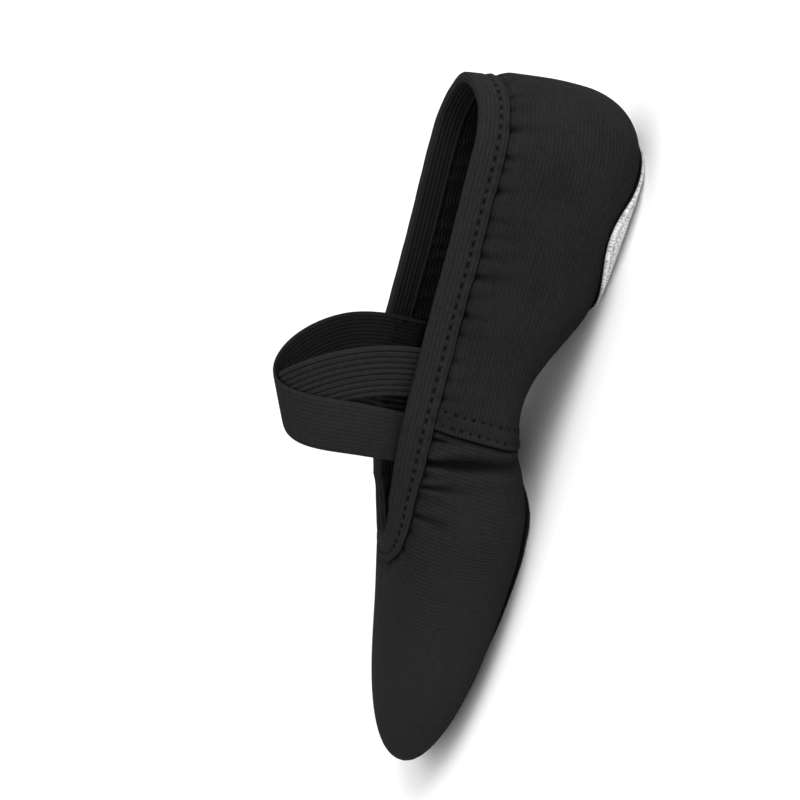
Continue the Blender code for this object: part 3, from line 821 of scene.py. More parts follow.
def seam_pits(behind, along, full):
    """Where the stitches have sunk into the two sewn rows, some pulled tighter than others."""
    place = (along - SEAM_FROM) / SEAM_PITCH
    beat = -np.cos(2 * math.pi * place)
    sewn_to = SEAM_FROM + seam_stitch_count(full) * SEAM_PITCH
    sewn = ease((beat - PIT_BEAT) / PIT_EASE) * ease((sewn_to + PIT_END - along) / PIT_END_RUN)
    share = 0.0
    for row in SEAM_ROWS:
        turn = PULL_TURN * np.floor(place) + PULL_ROW_TURN * row
        pull = PULL_MEAN + PULL_SPREAD * np.sin(turn)
        share = share + pull * hump(behind - row, PIT_WIDTH)
    return sewn * share


def hem(behind, along, full):
    """Relief of the folded edge: a slight swell at its end and in its lap, and two sewn channels."""
    relief = HEM_SWELL * hump(behind - HEM_SWELL_PLACE, HEM_SWELL_WIDTH)
    relief = relief + LAP_SWELL * hump(behind - LAP_SWELL_PLACE, LAP_SWELL_WIDTH)
    for row in SEAM_ROWS:
        relief = relief - CHANNEL_DEPTH * hump(behind - row, CHANNEL_WIDTH)
    return relief - PIT_DEPTH * seam_pits(behind, along, full)


rear_behind = rear_reach - np.abs(rear_ways)[:, None]
rear_side = np.where(rear_ways < 0, -1.0, 1.0)[:, None]
rear_along = tape_place(rear_ways)[:, None]
clear_of_hem = ease((rear_behind - HEM_HOLD) / HEM_RELEASE)


def rear_tucks(rows):
    """Gathers of the rear panel at lengths along its ribs; they die away at the folded edge."""
    below = rear_full - rows - TAPE_OUTSIDE
    return tucked(gathers(rear_along, below, rear_side)) * clear_of_tape(below) * clear_of_hem


TIGHT_ARCH = 0.30 * LENGTH
TIGHT_ARCH_RUN = 0.12 * LENGTH
rear_gathers = rear_tucks(rear_rows)
rear_soft = (puff(rear_below) + soft_waves(rear_points)) * clear_of_tape(rear_below)
uncovered = ease((rear_below + HEM_UNDER_TAPE) / HEM_UNDER_TAPE)
rear_relief = rear_gathers + rear_soft * clear_of_hem
rear_relief += hem(rear_behind, rear_depth, rear_full) * uncovered
roll = np.maximum(quarter_round(rear_behind, HEM_ROLL), HEM_ROLL_LEAST)
lapped_height = (panel_step(rear_ribs.x)[:, None] - HEM_SEAT) * roll
rear_offset = HEM_SEAT + lapped_height + rear_relief
rear_out = lay(rear_ribs, rear_rows, rear_offset)
lapped = ease((LAP_END - rear_behind) / LAP_END_RUN)
inside_offset = rear_tucks(rear_inside) - WALL + (WALL + HEM_SEAT / 2) * lapped
rear_in = lay(rear_ribs, rear_inside, inside_offset)
rear_unrolled = np.where(rear_along > TAPE_RUN / 2, rear_along - TAPE_RUN, rear_along)
rear_flat = np.dstack((
    np.hstack((rear_unrolled + 0 * rear_depth, rear_unrolled + 0 * rear_inside)),
    np.hstack((rear_depth, rear_full - rear_inside)),
))
# Painted shade darkens the stitch holes of the two sewn rows and the tucks of the gathers.
sewn_shade = PIT_SHADE * seam_pits(rear_behind, rear_depth, rear_full) * uncovered
rear_hollow = np.clip(tuck_shade(rear_gathers) + sewn_shade, 0, SHADE_MOST)
rear_tight = ease((rear_depth - TIGHT_FROM) / TIGHT_RUN)
rear_tight = rear_tight * ease((rear_points[:, :, 0] - TIGHT_ARCH) / TIGHT_ARCH_RUN)
rear_mesh = panel_skin(
    "rear_panel", rear_out, rear_in, rear_flat, rear_spine, hollow=rear_hollow, tight=rear_tight,
)
rear_canvas = canvas_material("canvas_along", True, REAR_GRAIN, LENGTH)
add_piece("rear_panel", rear_mesh, rear_canvas, "canvas", "upper")

# Seam stitches: black polyester thread in two rows through the lapped edge at the arch. Each
# stitch lies in its channel and dives at both ends into the hole that the needle left.
STITCH_LENGTH = 2.3
STITCH_PITCH = 3.55
SEAM_STITCH = 1.2
THREAD = 0.36
THREAD_SINK = 0.35
THREAD_PROUD = 0.2
THREAD_TAPER = 0.35
THREAD_BOW = 0.6
STITCH_RINGS = 7
STITCH_SIDES = 6
PLY_PITCH = 2.0
PLY_SLANT = 6.0
PLY_HEIGHT = 0.05
PLY_SHADE = 0.4
THREAD_ROUGHNESS = 0.8
THREAD_DARK = (0.0020, 0.0020, 0.0021)
THREAD_LIGHT = (0.0056, 0.0056, 0.0058)


def stitch_mesh(name, starts, ends, outs, thick=THREAD):
    """Many short stitches joined in one mesh, from arrays of their ends and outward directions."""
    t = np.linspace(0, 1, STITCH_RINGS)
    along = ends - starts
    bow = np.sin(math.pi * t) ** THREAD_BOW
    lift = (bow - 1) * thick * 2 * THREAD_SINK + THREAD_PROUD * thick
    centres = starts[:, None] + along[:, None] * t[None, :, None]
    centres = centres + outs[:, None] * lift[None, :, None]
    girth = thick / 2 * (THREAD_TAPER + (1 - THREAD_TAPER) * bow)
    aside = unit(np.cross(along, outs))
    angle = np.arange(STITCH_SIDES) * 2 * math.pi / STITCH_SIDES
    ring = np.cos(angle)[:, None, None] * aside + np.sin(angle)[:, None, None] * unit(outs)
    tubes = centres[:, :, None] + girth[None, :, None, None] * np.moveaxis(ring, 0, 1)[:, None]
    count = len(starts)
    per = STITCH_RINGS * STITCH_SIDES
    steps = (np.arange(size) for size in (count, STITCH_RINGS - 1, STITCH_SIDES))
    i, j, k = np.meshgrid(*steps, indexing="ij")
    after = (k + 1) % STITCH_SIDES
    low = i * per + j * STITCH_SIDES
    high = low + STITCH_SIDES
    faces = np.stack((low + k, high + k, high + after, low + after), axis=-1).reshape(-1, 4).tolist()
    for first in range(0, count * per, per):
        faces.append(list(range(first, first + STITCH_SIDES)))
        faces.append(list(range(first + per - 1, first + per - STITCH_SIDES - 1, -1)))
    mesh = bpy.data.meshes.new(name)
    mesh.from_pydata(((tubes.reshape(-1, 3) - MIDDLE) * MM).tolist(), [], faces)
    along_uv = np.tile(t[None, :, None], (count, 1, STITCH_SIDES))
    round_uv = np.tile(np.arange(STITCH_SIDES)[None, None], (count, STITCH_RINGS, 1))
    flat = np.stack((along_uv, round_uv), axis=-1).reshape(-1, 2)
    corners = np.array([corner for face in faces for corner in face])
    mesh.uv_layers.new(name="cloth").data.foreach_set("uv", flat[corners].ravel())
    mesh.shade_smooth()
    return mesh


def spaced_stitches(points, outs, length=STITCH_LENGTH, run=None, count=None):
    """Ends and outward directions of stitches spread along a line of points, by its own run."""
    if run is None:
        steps = np.linalg.norm(np.diff(points, axis=0), axis=1)
        run = np.concatenate(([0.0], np.cumsum(steps)))
    if count is None:
        count = max(int(run[-1] // STITCH_PITCH), 1)
    firsts = (np.arange(count) + 0.5) * run[-1] / count - length / 2

    def at(places, table):
        return np.column_stack([np.interp(places, run, table[:, axis]) for axis in range(3)])

    return at(firsts, points), at(firsts + length, points), unit(at(firsts + length / 2, outs))


def thread_material(name, dark, light):
    """Twisted thread in a slanting ply, its colour between two shades: lighter on the strands and
    darker in the grooves between them as painted shade.
    """
    material, shader, flat, u, v = dyed_material(name, THREAD_ROUGHNESS)
    ply = wave(material, added(material, u, PLY_SLANT, v), PLY_PITCH)
    raise_grain(material, shader, ply, PLY_HEIGHT)
    shade_between(material, shader, dark, light, added(material, ply, PLY_SHADE, 0.5))
    return material


def joined_rows(rows):
    """Several rows of stitches as one."""
    return [np.vstack(parts) for parts in zip(*rows)]


SEAM_SAMPLES = 8
OUTWARD = 5.0
seam_lines = []
for side in (-1, 1):
    for row in SEAM_ROWS:
        rib = ribs_at(np.array([side * (rear_reach - row)]))
        full = rib.lengths[0, -1]
        count = int(seam_stitch_count(full))
        depths = SEAM_FROM + np.linspace(0, count * SEAM_PITCH, SEAM_SAMPLES * count + 1)
        lengths = full - depths[None]
        near = np.argmin(np.abs(rear_ways - side * (rear_reach - row)))
        surface = np.interp(depths, rear_depth[near, ::-1], rear_offset[near, ::-1])
        line = lay(rib, lengths, surface[None])[0]
        outs = lay(rib, lengths, OUTWARD)[0] - line
        seam_lines.append(spaced_stitches(line, outs, SEAM_STITCH, depths - SEAM_FROM, count))
black_thread = thread_material("thread_black", THREAD_DARK, THREAD_LIGHT)
seam_mesh = stitch_mesh("seam_stitches", *joined_rows(seam_lines))
add_piece("seam_stitches", seam_mesh, black_thread, "canvas")

# Collar tape: ribbed black tape, folded over the raw edge of the canvas and sewn through all
# layers in one row. Sewn on stretched, it draws the collar in, and its lower edge is puckered.
TAPE = 0.9
TAPE_INSIDE = 8.0
TAPE_STITCH = 6.2
TAPE_STEP = 0.55
TAPE_OUT_ROWS = 34
TAPE_IN_ROWS = 16
CROWN_ROWS = 11
CROWN_START = 0.4
TAPE_LEVELLING = 7.0
TAPE_QUIET = 0.3
THROAT_TURN = 40.0
SEWN_DEPTH = 0.22
SEWN_WIDTH = 0.9
FLAP_RUN = 2.2
FLAP_LIFT = 0.20
PUCKER_SHARE = 0.22
EDGE_ROLL = 0.35
EDGE_ROLL_RUN = 0.8
NEEDLE_DEPTH = 0.45
NEEDLE_WIDTH = 0.38
NEEDLE_BEAT = -0.25
NEEDLE_EASE = 0.5
NEEDLE_SHADE = 0.9
PUCKER_SHADE = 0.08
WANDERS = ((0.28, 5.1, 0.0), (0.20, 2.3, 1.0))
WANDER_SHARE = 0.6
PUCKER_WANDER = 0.2
CROWN_POWER = 0.8
CROWN_WAVE = 0.05
CROWN_WAVE_RUN = 1.9
INSIDE_RIDGE = 0.2
INSIDE_RIDGE_WIDTH = 0.6
BACK_IN_ROWS = 4
BACK_OUT_ROWS = 6
BACK_HOLD = TAPE_STITCH + 2.0
TAPE_SPOTS = 0.5
TAPE_GRAIN = 0.17
TAPE_GRAIN_SHADE = 0.32
TAPE_ROUGHNESS = 0.85
TAPE_DARK = (0.0104, 0.0104, 0.0106)
TAPE_LIGHT = (0.0200, 0.0200, 0.0204)


def tape_step(x):
    """The tape runs off the panel step gently instead of stepping down with it."""
    ahead_of_seam = PANEL_STEP * (1 - ease((x - SEAM) / TAPE_LEVELLING))
    return np.where(x <= SEAM, panel_step(x), ahead_of_seam)


tape_ways = np.interp(
    np.linspace(0, TAPE_RUN, round(TAPE_RUN / TAPE_STEP), endpoint=False),
    tape_places, np.append(outline.way, PERIMETER),
)
tape_ribs = ribs_at(tape_ways)
tape_along = tape_place(tape_ways)[:, None]
tape_ahead = tape_ribs.x + THROAT_TURN * np.maximum(tape_ribs.direction[:, 0], 0)
tape_quiet = TAPE_QUIET + (1 - TAPE_QUIET) * ease((THROAT_START - tape_ahead) / THROAT_RUN)
top = tape_ribs.lengths[:, -1:]
out_near = tape_step(tape_ribs.x)[:, None] + GAP
out_far = out_near + TAPE
in_near = -WALL - GAP
in_far = in_near - TAPE

outside_depth = np.linspace(TAPE_OUTSIDE, CROWN_START, TAPE_OUT_ROWS)[None]
pucker = gathers(tape_along, 0 * tape_along, 0) * tape_quiet[:, None]
flap = ease((outside_depth - TAPE_STITCH) / FLAP_RUN)
needle = -np.cos(2 * math.pi * tape_along / TAPE_RUN * (TAPE_RUN // STITCH_PITCH))
beside_stitch = outside_depth - TAPE_STITCH
pits = ease((needle - NEEDLE_BEAT) / NEEDLE_EASE) * hump(beside_stitch, NEEDLE_WIDTH)
tape_relief = flap * (PUCKER_SHARE * pucker + FLAP_LIFT) - NEEDLE_DEPTH * pits
tape_relief -= SEWN_DEPTH * hump(beside_stitch, SEWN_WIDTH)
tape_relief -= EDGE_ROLL * ease((outside_depth - TAPE_OUTSIDE + EDGE_ROLL_RUN) / EDGE_ROLL_RUN)
edge_wander = -PUCKER_WANDER * pucker
for height, run, start in WANDERS:
    edge_wander = edge_wander + height * np.sin(tape_along / run + start)
outside = top - outside_depth - WANDER_SHARE * flap * edge_wander
tape_out = lay(tape_ribs, outside, out_far + tape_relief)

rise = unit(lay(tape_ribs, top) - lay(tape_ribs, top - TAPE))
crown_turn = np.linspace(0, math.pi, CROWN_ROWS + 2)[None, 1:-1]
crown_middle = (out_far + in_far) / 2
crown_half = (out_far - in_far) / 2
crown = lay(tape_ribs, top + 0 * crown_turn, crown_middle + crown_half * np.cos(crown_turn))
crown_lift = (GAP + TAPE) * np.sin(crown_turn) ** CROWN_POWER
crown_lift = crown_lift + CROWN_WAVE * np.sin(tape_along / CROWN_WAVE_RUN) * np.sin(crown_turn)
crown = crown + rise * crown_lift[:, :, None]

inside_depth = np.linspace(CROWN_START, TAPE_INSIDE, TAPE_IN_ROWS)[None]
inside_relief = INSIDE_RIDGE * hump(inside_depth - TAPE_STITCH, INSIDE_RIDGE_WIDTH)
tape_in = lay(tape_ribs, top - inside_depth, in_far + inside_relief)
inner_back = np.linspace(TAPE_INSIDE, 0.0, BACK_IN_ROWS)[None]
tape_back_in = lay(tape_ribs, top - inner_back, in_near + 0 * inner_back)
outer_back = np.linspace(0.0, TAPE_OUTSIDE, BACK_OUT_ROWS)[None]
back_pucker = PUCKER_SHARE * pucker * (outer_back > BACK_HOLD)
tape_back_out = lay(tape_ribs, top - outer_back, out_near + back_pucker)
tape_loops = np.concatenate((tape_out, crown, tape_in, tape_back_in, tape_back_out), axis=1)
loop_gaps = np.linalg.norm(np.diff(tape_loops, axis=1), axis=2).mean(axis=0)
tape_across = np.concatenate(([0.0], np.cumsum(loop_gaps)))
tape_flat = np.dstack((
    np.vstack((tape_along, [[TAPE_RUN]])) + 0 * tape_across[None],
    np.tile(tape_across, (len(tape_along) + 1, 1)),
))
# Painted shade darkens the tape in its needle holes and in the puckers along its lower edge.
tape_hollow = np.zeros(tape_loops.shape[:2])
tape_shade = NEEDLE_SHADE * pits - PUCKER_SHADE * flap * pucker
tape_hollow[:, :TAPE_OUT_ROWS] = np.clip(tape_shade, 0, SHADE_MOST)
tape_mesh = skin_mesh("collar_tape", tape_loops, tape_flat, ring=True, hollow=tape_hollow)


Yarns = namedtuple("Yarns", "pitch height along across")
TAPE_YARNS = [Yarns(1.45, 0.7, 0, 1), Yarns(0.5, 0.3, 1, 0)]


def woven_material(name, roughness, yarns, grain, spots, detail, shade, dark, light):
    """Woven cloth of one dye: yarns that stand up in ridges, on thread of uneven shade.

    A row of yarns is spaced by its pitch along the cloth, across it, or on a slant between.
    """
    material, shader, flat, u, v = dyed_material(name, roughness)
    height = 0.0
    for row in yarns:
        place = added(material, u, row.along, calc(material, "MULTIPLY", v, row.across))
        height = added(material, wave(material, place, row.pitch), row.height, height)
    raise_grain(material, shader, height, grain)
    # The yarn ridges are painted lighter and the grooves between them darker as painted shade; the
    # noise spots are the thread's own uneven tone.
    share = added(material, height, shade, noise(material, flat, spots, detail))
    shade_between(material, shader, dark, light, share)
    return material


ribbed_tape = woven_material(
    "binding_tape_ribbed", TAPE_ROUGHNESS, TAPE_YARNS, TAPE_GRAIN, TAPE_SPOTS, 3.0,
    TAPE_GRAIN_SHADE, TAPE_DARK, TAPE_LIGHT,
)
add_piece("collar_tape", tape_mesh, ribbed_tape, "binding_tape", "collar_binding")

# Collar stitches: one row of black polyester thread all round, through the tape on both sides
# and the canvas between. Each stitch has sunk a little into the tape.
COLLAR_STITCH = 2.0
tape_sewn = lay(tape_ribs, top - TAPE_STITCH, out_far - NEEDLE_DEPTH)[:, 0]
tape_lifted = lay(tape_ribs, top - TAPE_STITCH, out_far + OUTWARD)[:, 0]
closed_row = np.vstack((tape_sewn, tape_sewn[:1]))
closed_outs = np.vstack((tape_lifted, tape_lifted[:1])) - closed_row
closed_run = np.append(tape_along[:, 0], TAPE_RUN)
collar_ends = spaced_stitches(closed_row, closed_outs, COLLAR_STITCH, closed_run)
collar_mesh = stitch_mesh("collar_stitches", *collar_ends)
add_piece("collar_stitches", collar_mesh, black_thread, "binding_tape")

# Sole patches: two pieces of pale grey suede, napped side down, one cupped under the heel and
# one under the ball and toes. Each is sewn over the canvas in a groove near its cut edge.
PATCH_SEWN = 3.0
PATCH_THREAD = 0.5
PATCH_UNDER_ROWS = 46
PATCH_OVER_ROWS = 12
GROOVE_DEPTH = 0.40
GROOVE_WIDTH = 0.7
EDGE_ROUND = 0.5
EDGE_ROUND_RUN = 0.9
GROOVE_SHADE = 0.5
LEVEL_MARGIN = 0.01
NAP_HEIGHT = 0.06
NAP_ALONG = 1.7
NAP_ROUND = 1.3
NAP_START = 3.0
CUT_HEIGHTS = (0.85, 0.60)
BRUSH_SPOTS = 0.12
BRUSH_SHARE = 0.5
BRUSH_BASE = 0.25
FIBRE_SPOTS = 1.9
FIBRE_HEIGHT = 0.45
SPECKLE = 3.4
SUEDE_ROUGHNESS = 0.95
SUEDE_DARK = (0.27, 0.27, 0.265)
SUEDE_LIGHT = (0.95, 0.95, 0.94)
# Painted shadow: near-black colour of each patch's cut edge next to the canvas, of its rim and of its
# hidden upper face.
SUEDE_PAINTED_SHADOW = (0.005, 0.0048, 0.0045)
PATCH_THREAD_DARK = (0.30, 0.30, 0.30)
PATCH_THREAD_LIGHT = (0.55, 0.55, 0.55)


def suede_material(name):
    """Napped suede: short fibres in a speckled grain, brushed lighter and darker in patches."""
    material, shader, flat, u, v = dyed_material(name, SUEDE_ROUGHNESS)
    brushed = noise(material, flat, BRUSH_SPOTS, 3.0)
    fibres = noise(material, flat, FIBRE_SPOTS, 3.0)
    raise_grain(material, shader, fibres, FIBRE_HEIGHT)
    tone = added(material, brushed, BRUSH_SHARE, BRUSH_BASE)
    share = added(material, calc(material, "SUBTRACT", fibres, 0.5), SPECKLE, tone)
    shade_between(material, shader, SUEDE_DARK, SUEDE_LIGHT, share, SUEDE_PAINTED_SHADOW)
    return material


def sole_skin(name, ribs, loops, **marks):
    """Closed skin of a flat piece on the sole, from loops on ribs all round it."""
    flat = np.vstack((loops, loops[:1]))[:, :, :2]
    return skin_mesh(name, loops, flat, ring=True, spine=np.ones(len(ribs.x), bool), **marks)


def patch_skin(name, ribs, reaches, rim, rim_shadow):
    """Patch that follows the underside of the last, with its sewn groove; also the stitch line.

    The cut edge is painted black next to the canvas as a painted shadow line, and the rim of the
    napped side takes a share of that painted shadow.
    """
    edge = length_at_reach(ribs, reaches)[:, None]
    low = edge * np.linspace(0, 1, PATCH_UNDER_ROWS)[None]
    inward = edge - low
    sewn = edge > 2 * PATCH_SEWN
    groove = GROOVE_DEPTH * hump(inward - PATCH_SEWN, GROOVE_WIDTH) * sewn
    rim_shade = rim_shadow * (1 - ease(inward / rim))
    nap = np.sin(low * NAP_ALONG + ribs.x[:, None]) * np.sin(ribs.way[:, None] / NAP_ROUND)
    nap = NAP_HEIGHT * ease(low / NAP_START) * nap
    grounded = lay(ribs, low)[:, :, 2] < GROUND + LEVEL_MARGIN
    rounded = EDGE_ROUND * (1 - quarter_round(inward, EDGE_ROUND_RUN))
    under = lay(ribs, low, GROUND - groove - rounded + np.where(grounded, 0.0, nap))
    under[:, :, 2] = np.maximum(under[:, :, 2], 0.0)
    cut_heights = GAP + np.array([CUT_HEIGHTS])
    cut_side = lay(ribs, edge + 0 * cut_heights, cut_heights)
    cut_shade = np.tile((rim_shadow, 1.0), (len(edge), 1))
    over_rows = edge * np.linspace(1, 0, PATCH_OVER_ROWS)[None]
    loops = np.hstack((under, cut_side, lay(ribs, over_rows, GAP)))
    # Painted shade in the sewn groove, and painted shadow on the rim, the cut edge and the hidden
    # upper face.
    under_shade = np.clip(groove * GROOVE_SHADE + rim_shade, 0, 1)
    hollow = np.hstack((under_shade, cut_shade, np.ones(over_rows.shape)))
    mesh = sole_skin(name, ribs, loops, hollow=hollow)
    line = lay(ribs, edge - PATCH_SEWN, GROUND - GROOVE_DEPTH)[:, 0]
    outs = lay(ribs, edge - PATCH_SEWN, GROUND + OUTWARD)[:, 0] - line
    return mesh, spaced_stitches(line[sewn[:, 0]], outs[sewn[:, 0]])


def closing(centre, end, count):
    """Side places from a fan's centre to a patch's end, closer together at the end."""
    return centre + (end - centre) * np.sin(math.pi / 2 * np.arange(1, count + 1) / count)


# Width of each patch's rim, and how much painted shadow darkens it.
HEEL_RIM = 0.6
HEEL_RIM_SHADOW = 0.40
HEEL_END_RIBS = 46
HEEL_BACK_RIBS = 121
TOE_RIM = 2.0
TOE_RIM_SHADOW = 1.0
TOE_END_RIBS = 40
TOE_FRONT_RIBS = 221
heel_ends = closing(HEEL_CENTRE, HEEL_PATCH_MIDDLE + HEEL_PATCH_LENGTH / 2, HEEL_END_RIBS)
heel_ribs = ribs_at(np.concatenate((
    way_round("outer", heel_ends[-2::-1]),
    np.linspace(-HEEL_TURN, HEEL_TURN, HEEL_BACK_RIBS),
    way_round("inner", heel_ends),
)))
heel_reach = heel_patch_reach(heel_ribs, 0.0)
heel_mesh, heel_row = patch_skin("heel_patch", heel_ribs, heel_reach, HEEL_RIM, HEEL_RIM_SHADOW)
add_piece("heel_patch", heel_mesh, suede_material("suede_heel"), "suede", "sole_heel")
toe_ends = closing(TOE_CENTRE, FRONT_PATCH_END, TOE_END_RIBS)
toe_ribs = ribs_at(np.concatenate((
    way_round("inner", toe_ends[::-1]),
    np.linspace(TOE_START, OUTER_START, TOE_FRONT_RIBS),
    way_round("outer", toe_ends[:-1]),
)))
toe_reach = front_patch_reach(toe_ribs, 0.0)
toe_mesh, toe_row = patch_skin("forefoot_patch", toe_ribs, toe_reach, TOE_RIM, TOE_RIM_SHADOW)
add_piece("forefoot_patch", toe_mesh, suede_material("suede_forefoot"), "suede", "sole_forefoot")
grey_thread = thread_material("thread_grey", PATCH_THREAD_DARK, PATCH_THREAD_LIGHT)
patch_ends = joined_rows((heel_row, toe_row))
patch_mesh = stitch_mesh("patch_stitches", *patch_ends, PATCH_THREAD)
add_piece("patch_stitches", patch_mesh, grey_thread, "suede")

# Sock lining: one thin piece of dark cotton twill on the inside bottom, from heel to toe. It is
# cut a little narrower than the last and laid loose on the canvas.
INSOLE_GAP = 0.5
INSOLE_SHARE = 0.45
SOCK = 1.0
SOCK_RIBS = 480
SOCK_TOP_ROWS = 30
SOCK_BACK_ROWS = 10
SOCK_ROUND = 0.35
SOCK_ROUND_RUN = 1.2
COTTON_ROUGHNESS = 0.92
COTTON_GRAIN = 0.10
COTTON_SPOTS = 0.3
COTTON_SHADE = 0.2
COTTON_TWILL = [Yarns(0.9, 1.0, 1.0, 0.7)]
COTTON_DARK = (0.016, 0.016, 0.017)
COTTON_LIGHT = (0.036, 0.036, 0.038)
sock_ribs = ribs_at(np.linspace(0, PERIMETER, SOCK_RIBS, endpoint=False))
sock_reach = sock_ribs.reach * (sock_ribs.flat + INSOLE_SHARE * (1 - sock_ribs.flat))
sock_edge = length_at_reach(sock_ribs, sock_reach)[:, None]
sock_rows = sock_edge * np.linspace(0, 1, SOCK_TOP_ROWS)[None]
sock_back = sock_edge * np.linspace(1, 0, SOCK_BACK_ROWS)[None]
sock_low = -WALL - INSOLE_GAP
sock_rounded = SOCK_ROUND * (1 - quarter_round(sock_edge - sock_rows, SOCK_ROUND_RUN))
sock_top = lay(sock_ribs, sock_rows, sock_low - SOCK + sock_rounded)
sock_loops = np.hstack((sock_top, lay(sock_ribs, sock_back, sock_low)))
sock_mesh = sole_skin("sock_lining", sock_ribs, sock_loops)
sock_cotton = woven_material(
    "sock_cotton_twill", COTTON_ROUGHNESS, COTTON_TWILL, COTTON_GRAIN, COTTON_SPOTS, 4.0,
    COTTON_SHADE, COTTON_DARK, COTTON_LIGHT,
)
add_piece("sock_lining", sock_mesh, sock_cotton, "sock_cotton", "insole")

# Straps: two bands of woven black elastic, sewn inside the collar on both sides and crossed
# over the instep. The lower band shows bold cords along it, and the upper one is finer.
ELASTIC = 1.2
STRAP_WIDTH = 17.0
STRAP_TAB = 12.0
STRAP_REAR = 0.435 * LENGTH
STRAP_FRONT = 0.53 * LENGTH
STRAP_GAP = 0.6
INSTEP_HEIGHT = 89.0
INSTEP_SLOPE = 0.55
INSTEP_SHIFT = 4.0
STRAP_LEAN = 13.0
STRAP_LIFT_SHARE = 0.13
STRAP_EASE = 0.5
STRAP_INSET = WALL + GAP + TAPE + STRAP_GAP + ELASTIC
STRAP_ROWS = 150
STRAP_COLUMNS = 91
TAB_ROWS = 12
BAND_SQUARENESS = 14
BAND_EDGE = 0.25
CORD_POWER = 0.6
CORD_MEAN = 0.6
CORD_SHADE = 3.0
CORD_SHADE_MOST = 0.7
ELASTIC_ROUGHNESS = 0.78
ELASTIC_SPOTS = 0.6
ELASTIC_SHADE = 0.2
ELASTIC_DARK = (0.0098, 0.0098, 0.0100)
ELASTIC_LIGHT = (0.0190, 0.0190, 0.0194)


def collar_inside(zone, x, depth):
    """Points on the inside of the collar, at a depth below its edge."""
    ribs = ribs_at(way_round(zone, x))
    return lay(ribs, ribs.lengths[:, -1:] - depth, -STRAP_INSET)[:, 0]


def instep(x, share):
    """Bed of the straps: from the inner collar edge (0) over the instep to the outer one (1)."""
    inner = collar_inside("inner", x, 0.0)
    outer = collar_inside("outer", x, 0.0)
    middle = (inner + outer) / 2
    ridge = INSTEP_HEIGHT - INSTEP_SLOPE * (x - (STRAP_REAR + STRAP_FRONT) / 2)
    swell = math.sin(math.pi * share)
    bow = np.column_stack((STRAP_LEAN * swell + 0 * x, INSTEP_SHIFT + 0 * x, ridge - middle[:, 2]))
    return middle + (inner - outer) / 2 * math.cos(math.pi * share) + bow * swell


def strap_mesh(name, inner_x, outer_x, lift, cords, cord_relief):
    """Band with its cords as relief on both faces; lift clears the band below it."""
    across = np.linspace(-1, 1, STRAP_COLUMNS)
    aside = STRAP_WIDTH / 2 * across
    depths = np.linspace(STRAP_TAB, 0, TAB_ROWS + 1)[:-1]
    rows = [collar_inside("inner", inner_x + aside, depth) for depth in depths]
    rises = [0.0] * len(depths)
    for share in np.linspace(0, 1, STRAP_ROWS):
        eased = (1 - STRAP_EASE) * share + STRAP_EASE * ease(share)
        rows.append(instep(inner_x + (outer_x - inner_x) * eased + aside, share))
        rises.append(lift * ease(min(share, 1 - share) / STRAP_LIFT_SHARE))
    rows += [collar_inside("outer", outer_x + aside, depth) for depth in depths[::-1]]
    rises += [0.0] * len(depths)
    bed = np.array(rows)
    normal = unit(np.cross(np.gradient(bed, axis=0), np.gradient(bed, axis=1)))
    edge = np.sqrt(np.clip(1 - np.abs(across) ** BAND_SQUARENESS, 0, 1))
    cord = np.abs(np.sin(math.pi * cords * (across + 1) / 2)) ** CORD_POWER - CORD_MEAN
    half = (ELASTIC / 2 + cord_relief * cord) * np.maximum(edge, BAND_EDGE)
    middle = np.array(rises)[:, None, None] + ELASTIC / 2
    over = bed + normal * (middle + half[None, :, None])
    under = bed + normal * (middle - half[None, :, None])
    loops = np.hstack((over, under[:, ::-1]))
    steps = np.linalg.norm(np.diff(bed[:, STRAP_COLUMNS // 2], axis=0), axis=1)
    run = np.concatenate(([0.0], np.cumsum(steps)))[:, None]
    both = np.concatenate((aside, aside[::-1]))[None]
    # Painted shade darkens the grooves between the cords.
    hollow = np.clip(-cord * cord_relief * CORD_SHADE, 0, CORD_SHADE_MOST)
    both_hollow = np.concatenate((hollow, hollow[::-1]))[None]
    flat = np.dstack((run + 0 * both, both + 0 * run))
    return skin_mesh(name, loops, flat, hollow=both_hollow + 0 * run), under, -normal


def elastic_material(name, yarns, grain):
    """Woven elastic: cords along it, wrapped by fine cross yarns."""
    return woven_material(
        name, ELASTIC_ROUGHNESS, yarns, grain, ELASTIC_SPOTS, 3.0,
        ELASTIC_SHADE, ELASTIC_DARK, ELASTIC_LIGHT,
    )


LOWER_CORDS = 9
LOWER_RELIEF = 0.40
LOWER_GRAIN = 0.08
LOWER_YARNS = [Yarns(1.06, 0.50, 0, 1), Yarns(0.7, 0.50, 1, 0)]
lower_mesh, lower_face, lower_outs = strap_mesh(
    "strap_lower", STRAP_REAR, STRAP_FRONT, 0.0, LOWER_CORDS, LOWER_RELIEF,
)
lower_elastic = elastic_material("elastic_corded", LOWER_YARNS, LOWER_GRAIN)
add_piece("strap_lower", lower_mesh, lower_elastic, "elastic", "strap_under")
UPPER_CORDS = 13
UPPER_RELIEF = 0.05
UPPER_GRAIN = 0.06
UPPER_YARNS = [Yarns(1.31, 0.85, 0, 1), Yarns(0.7, 0.15, 1, 0)]
UPPER_LIFT = ELASTIC + GAP
upper_mesh, upper_face, upper_outs = strap_mesh(
    "strap_upper", STRAP_FRONT, STRAP_REAR, UPPER_LIFT, UPPER_CORDS, UPPER_RELIEF,
)
upper_elastic = elastic_material("elastic_fine", UPPER_YARNS, UPPER_GRAIN)
add_piece("strap_upper", upper_mesh, upper_elastic, "elastic", "strap_over")

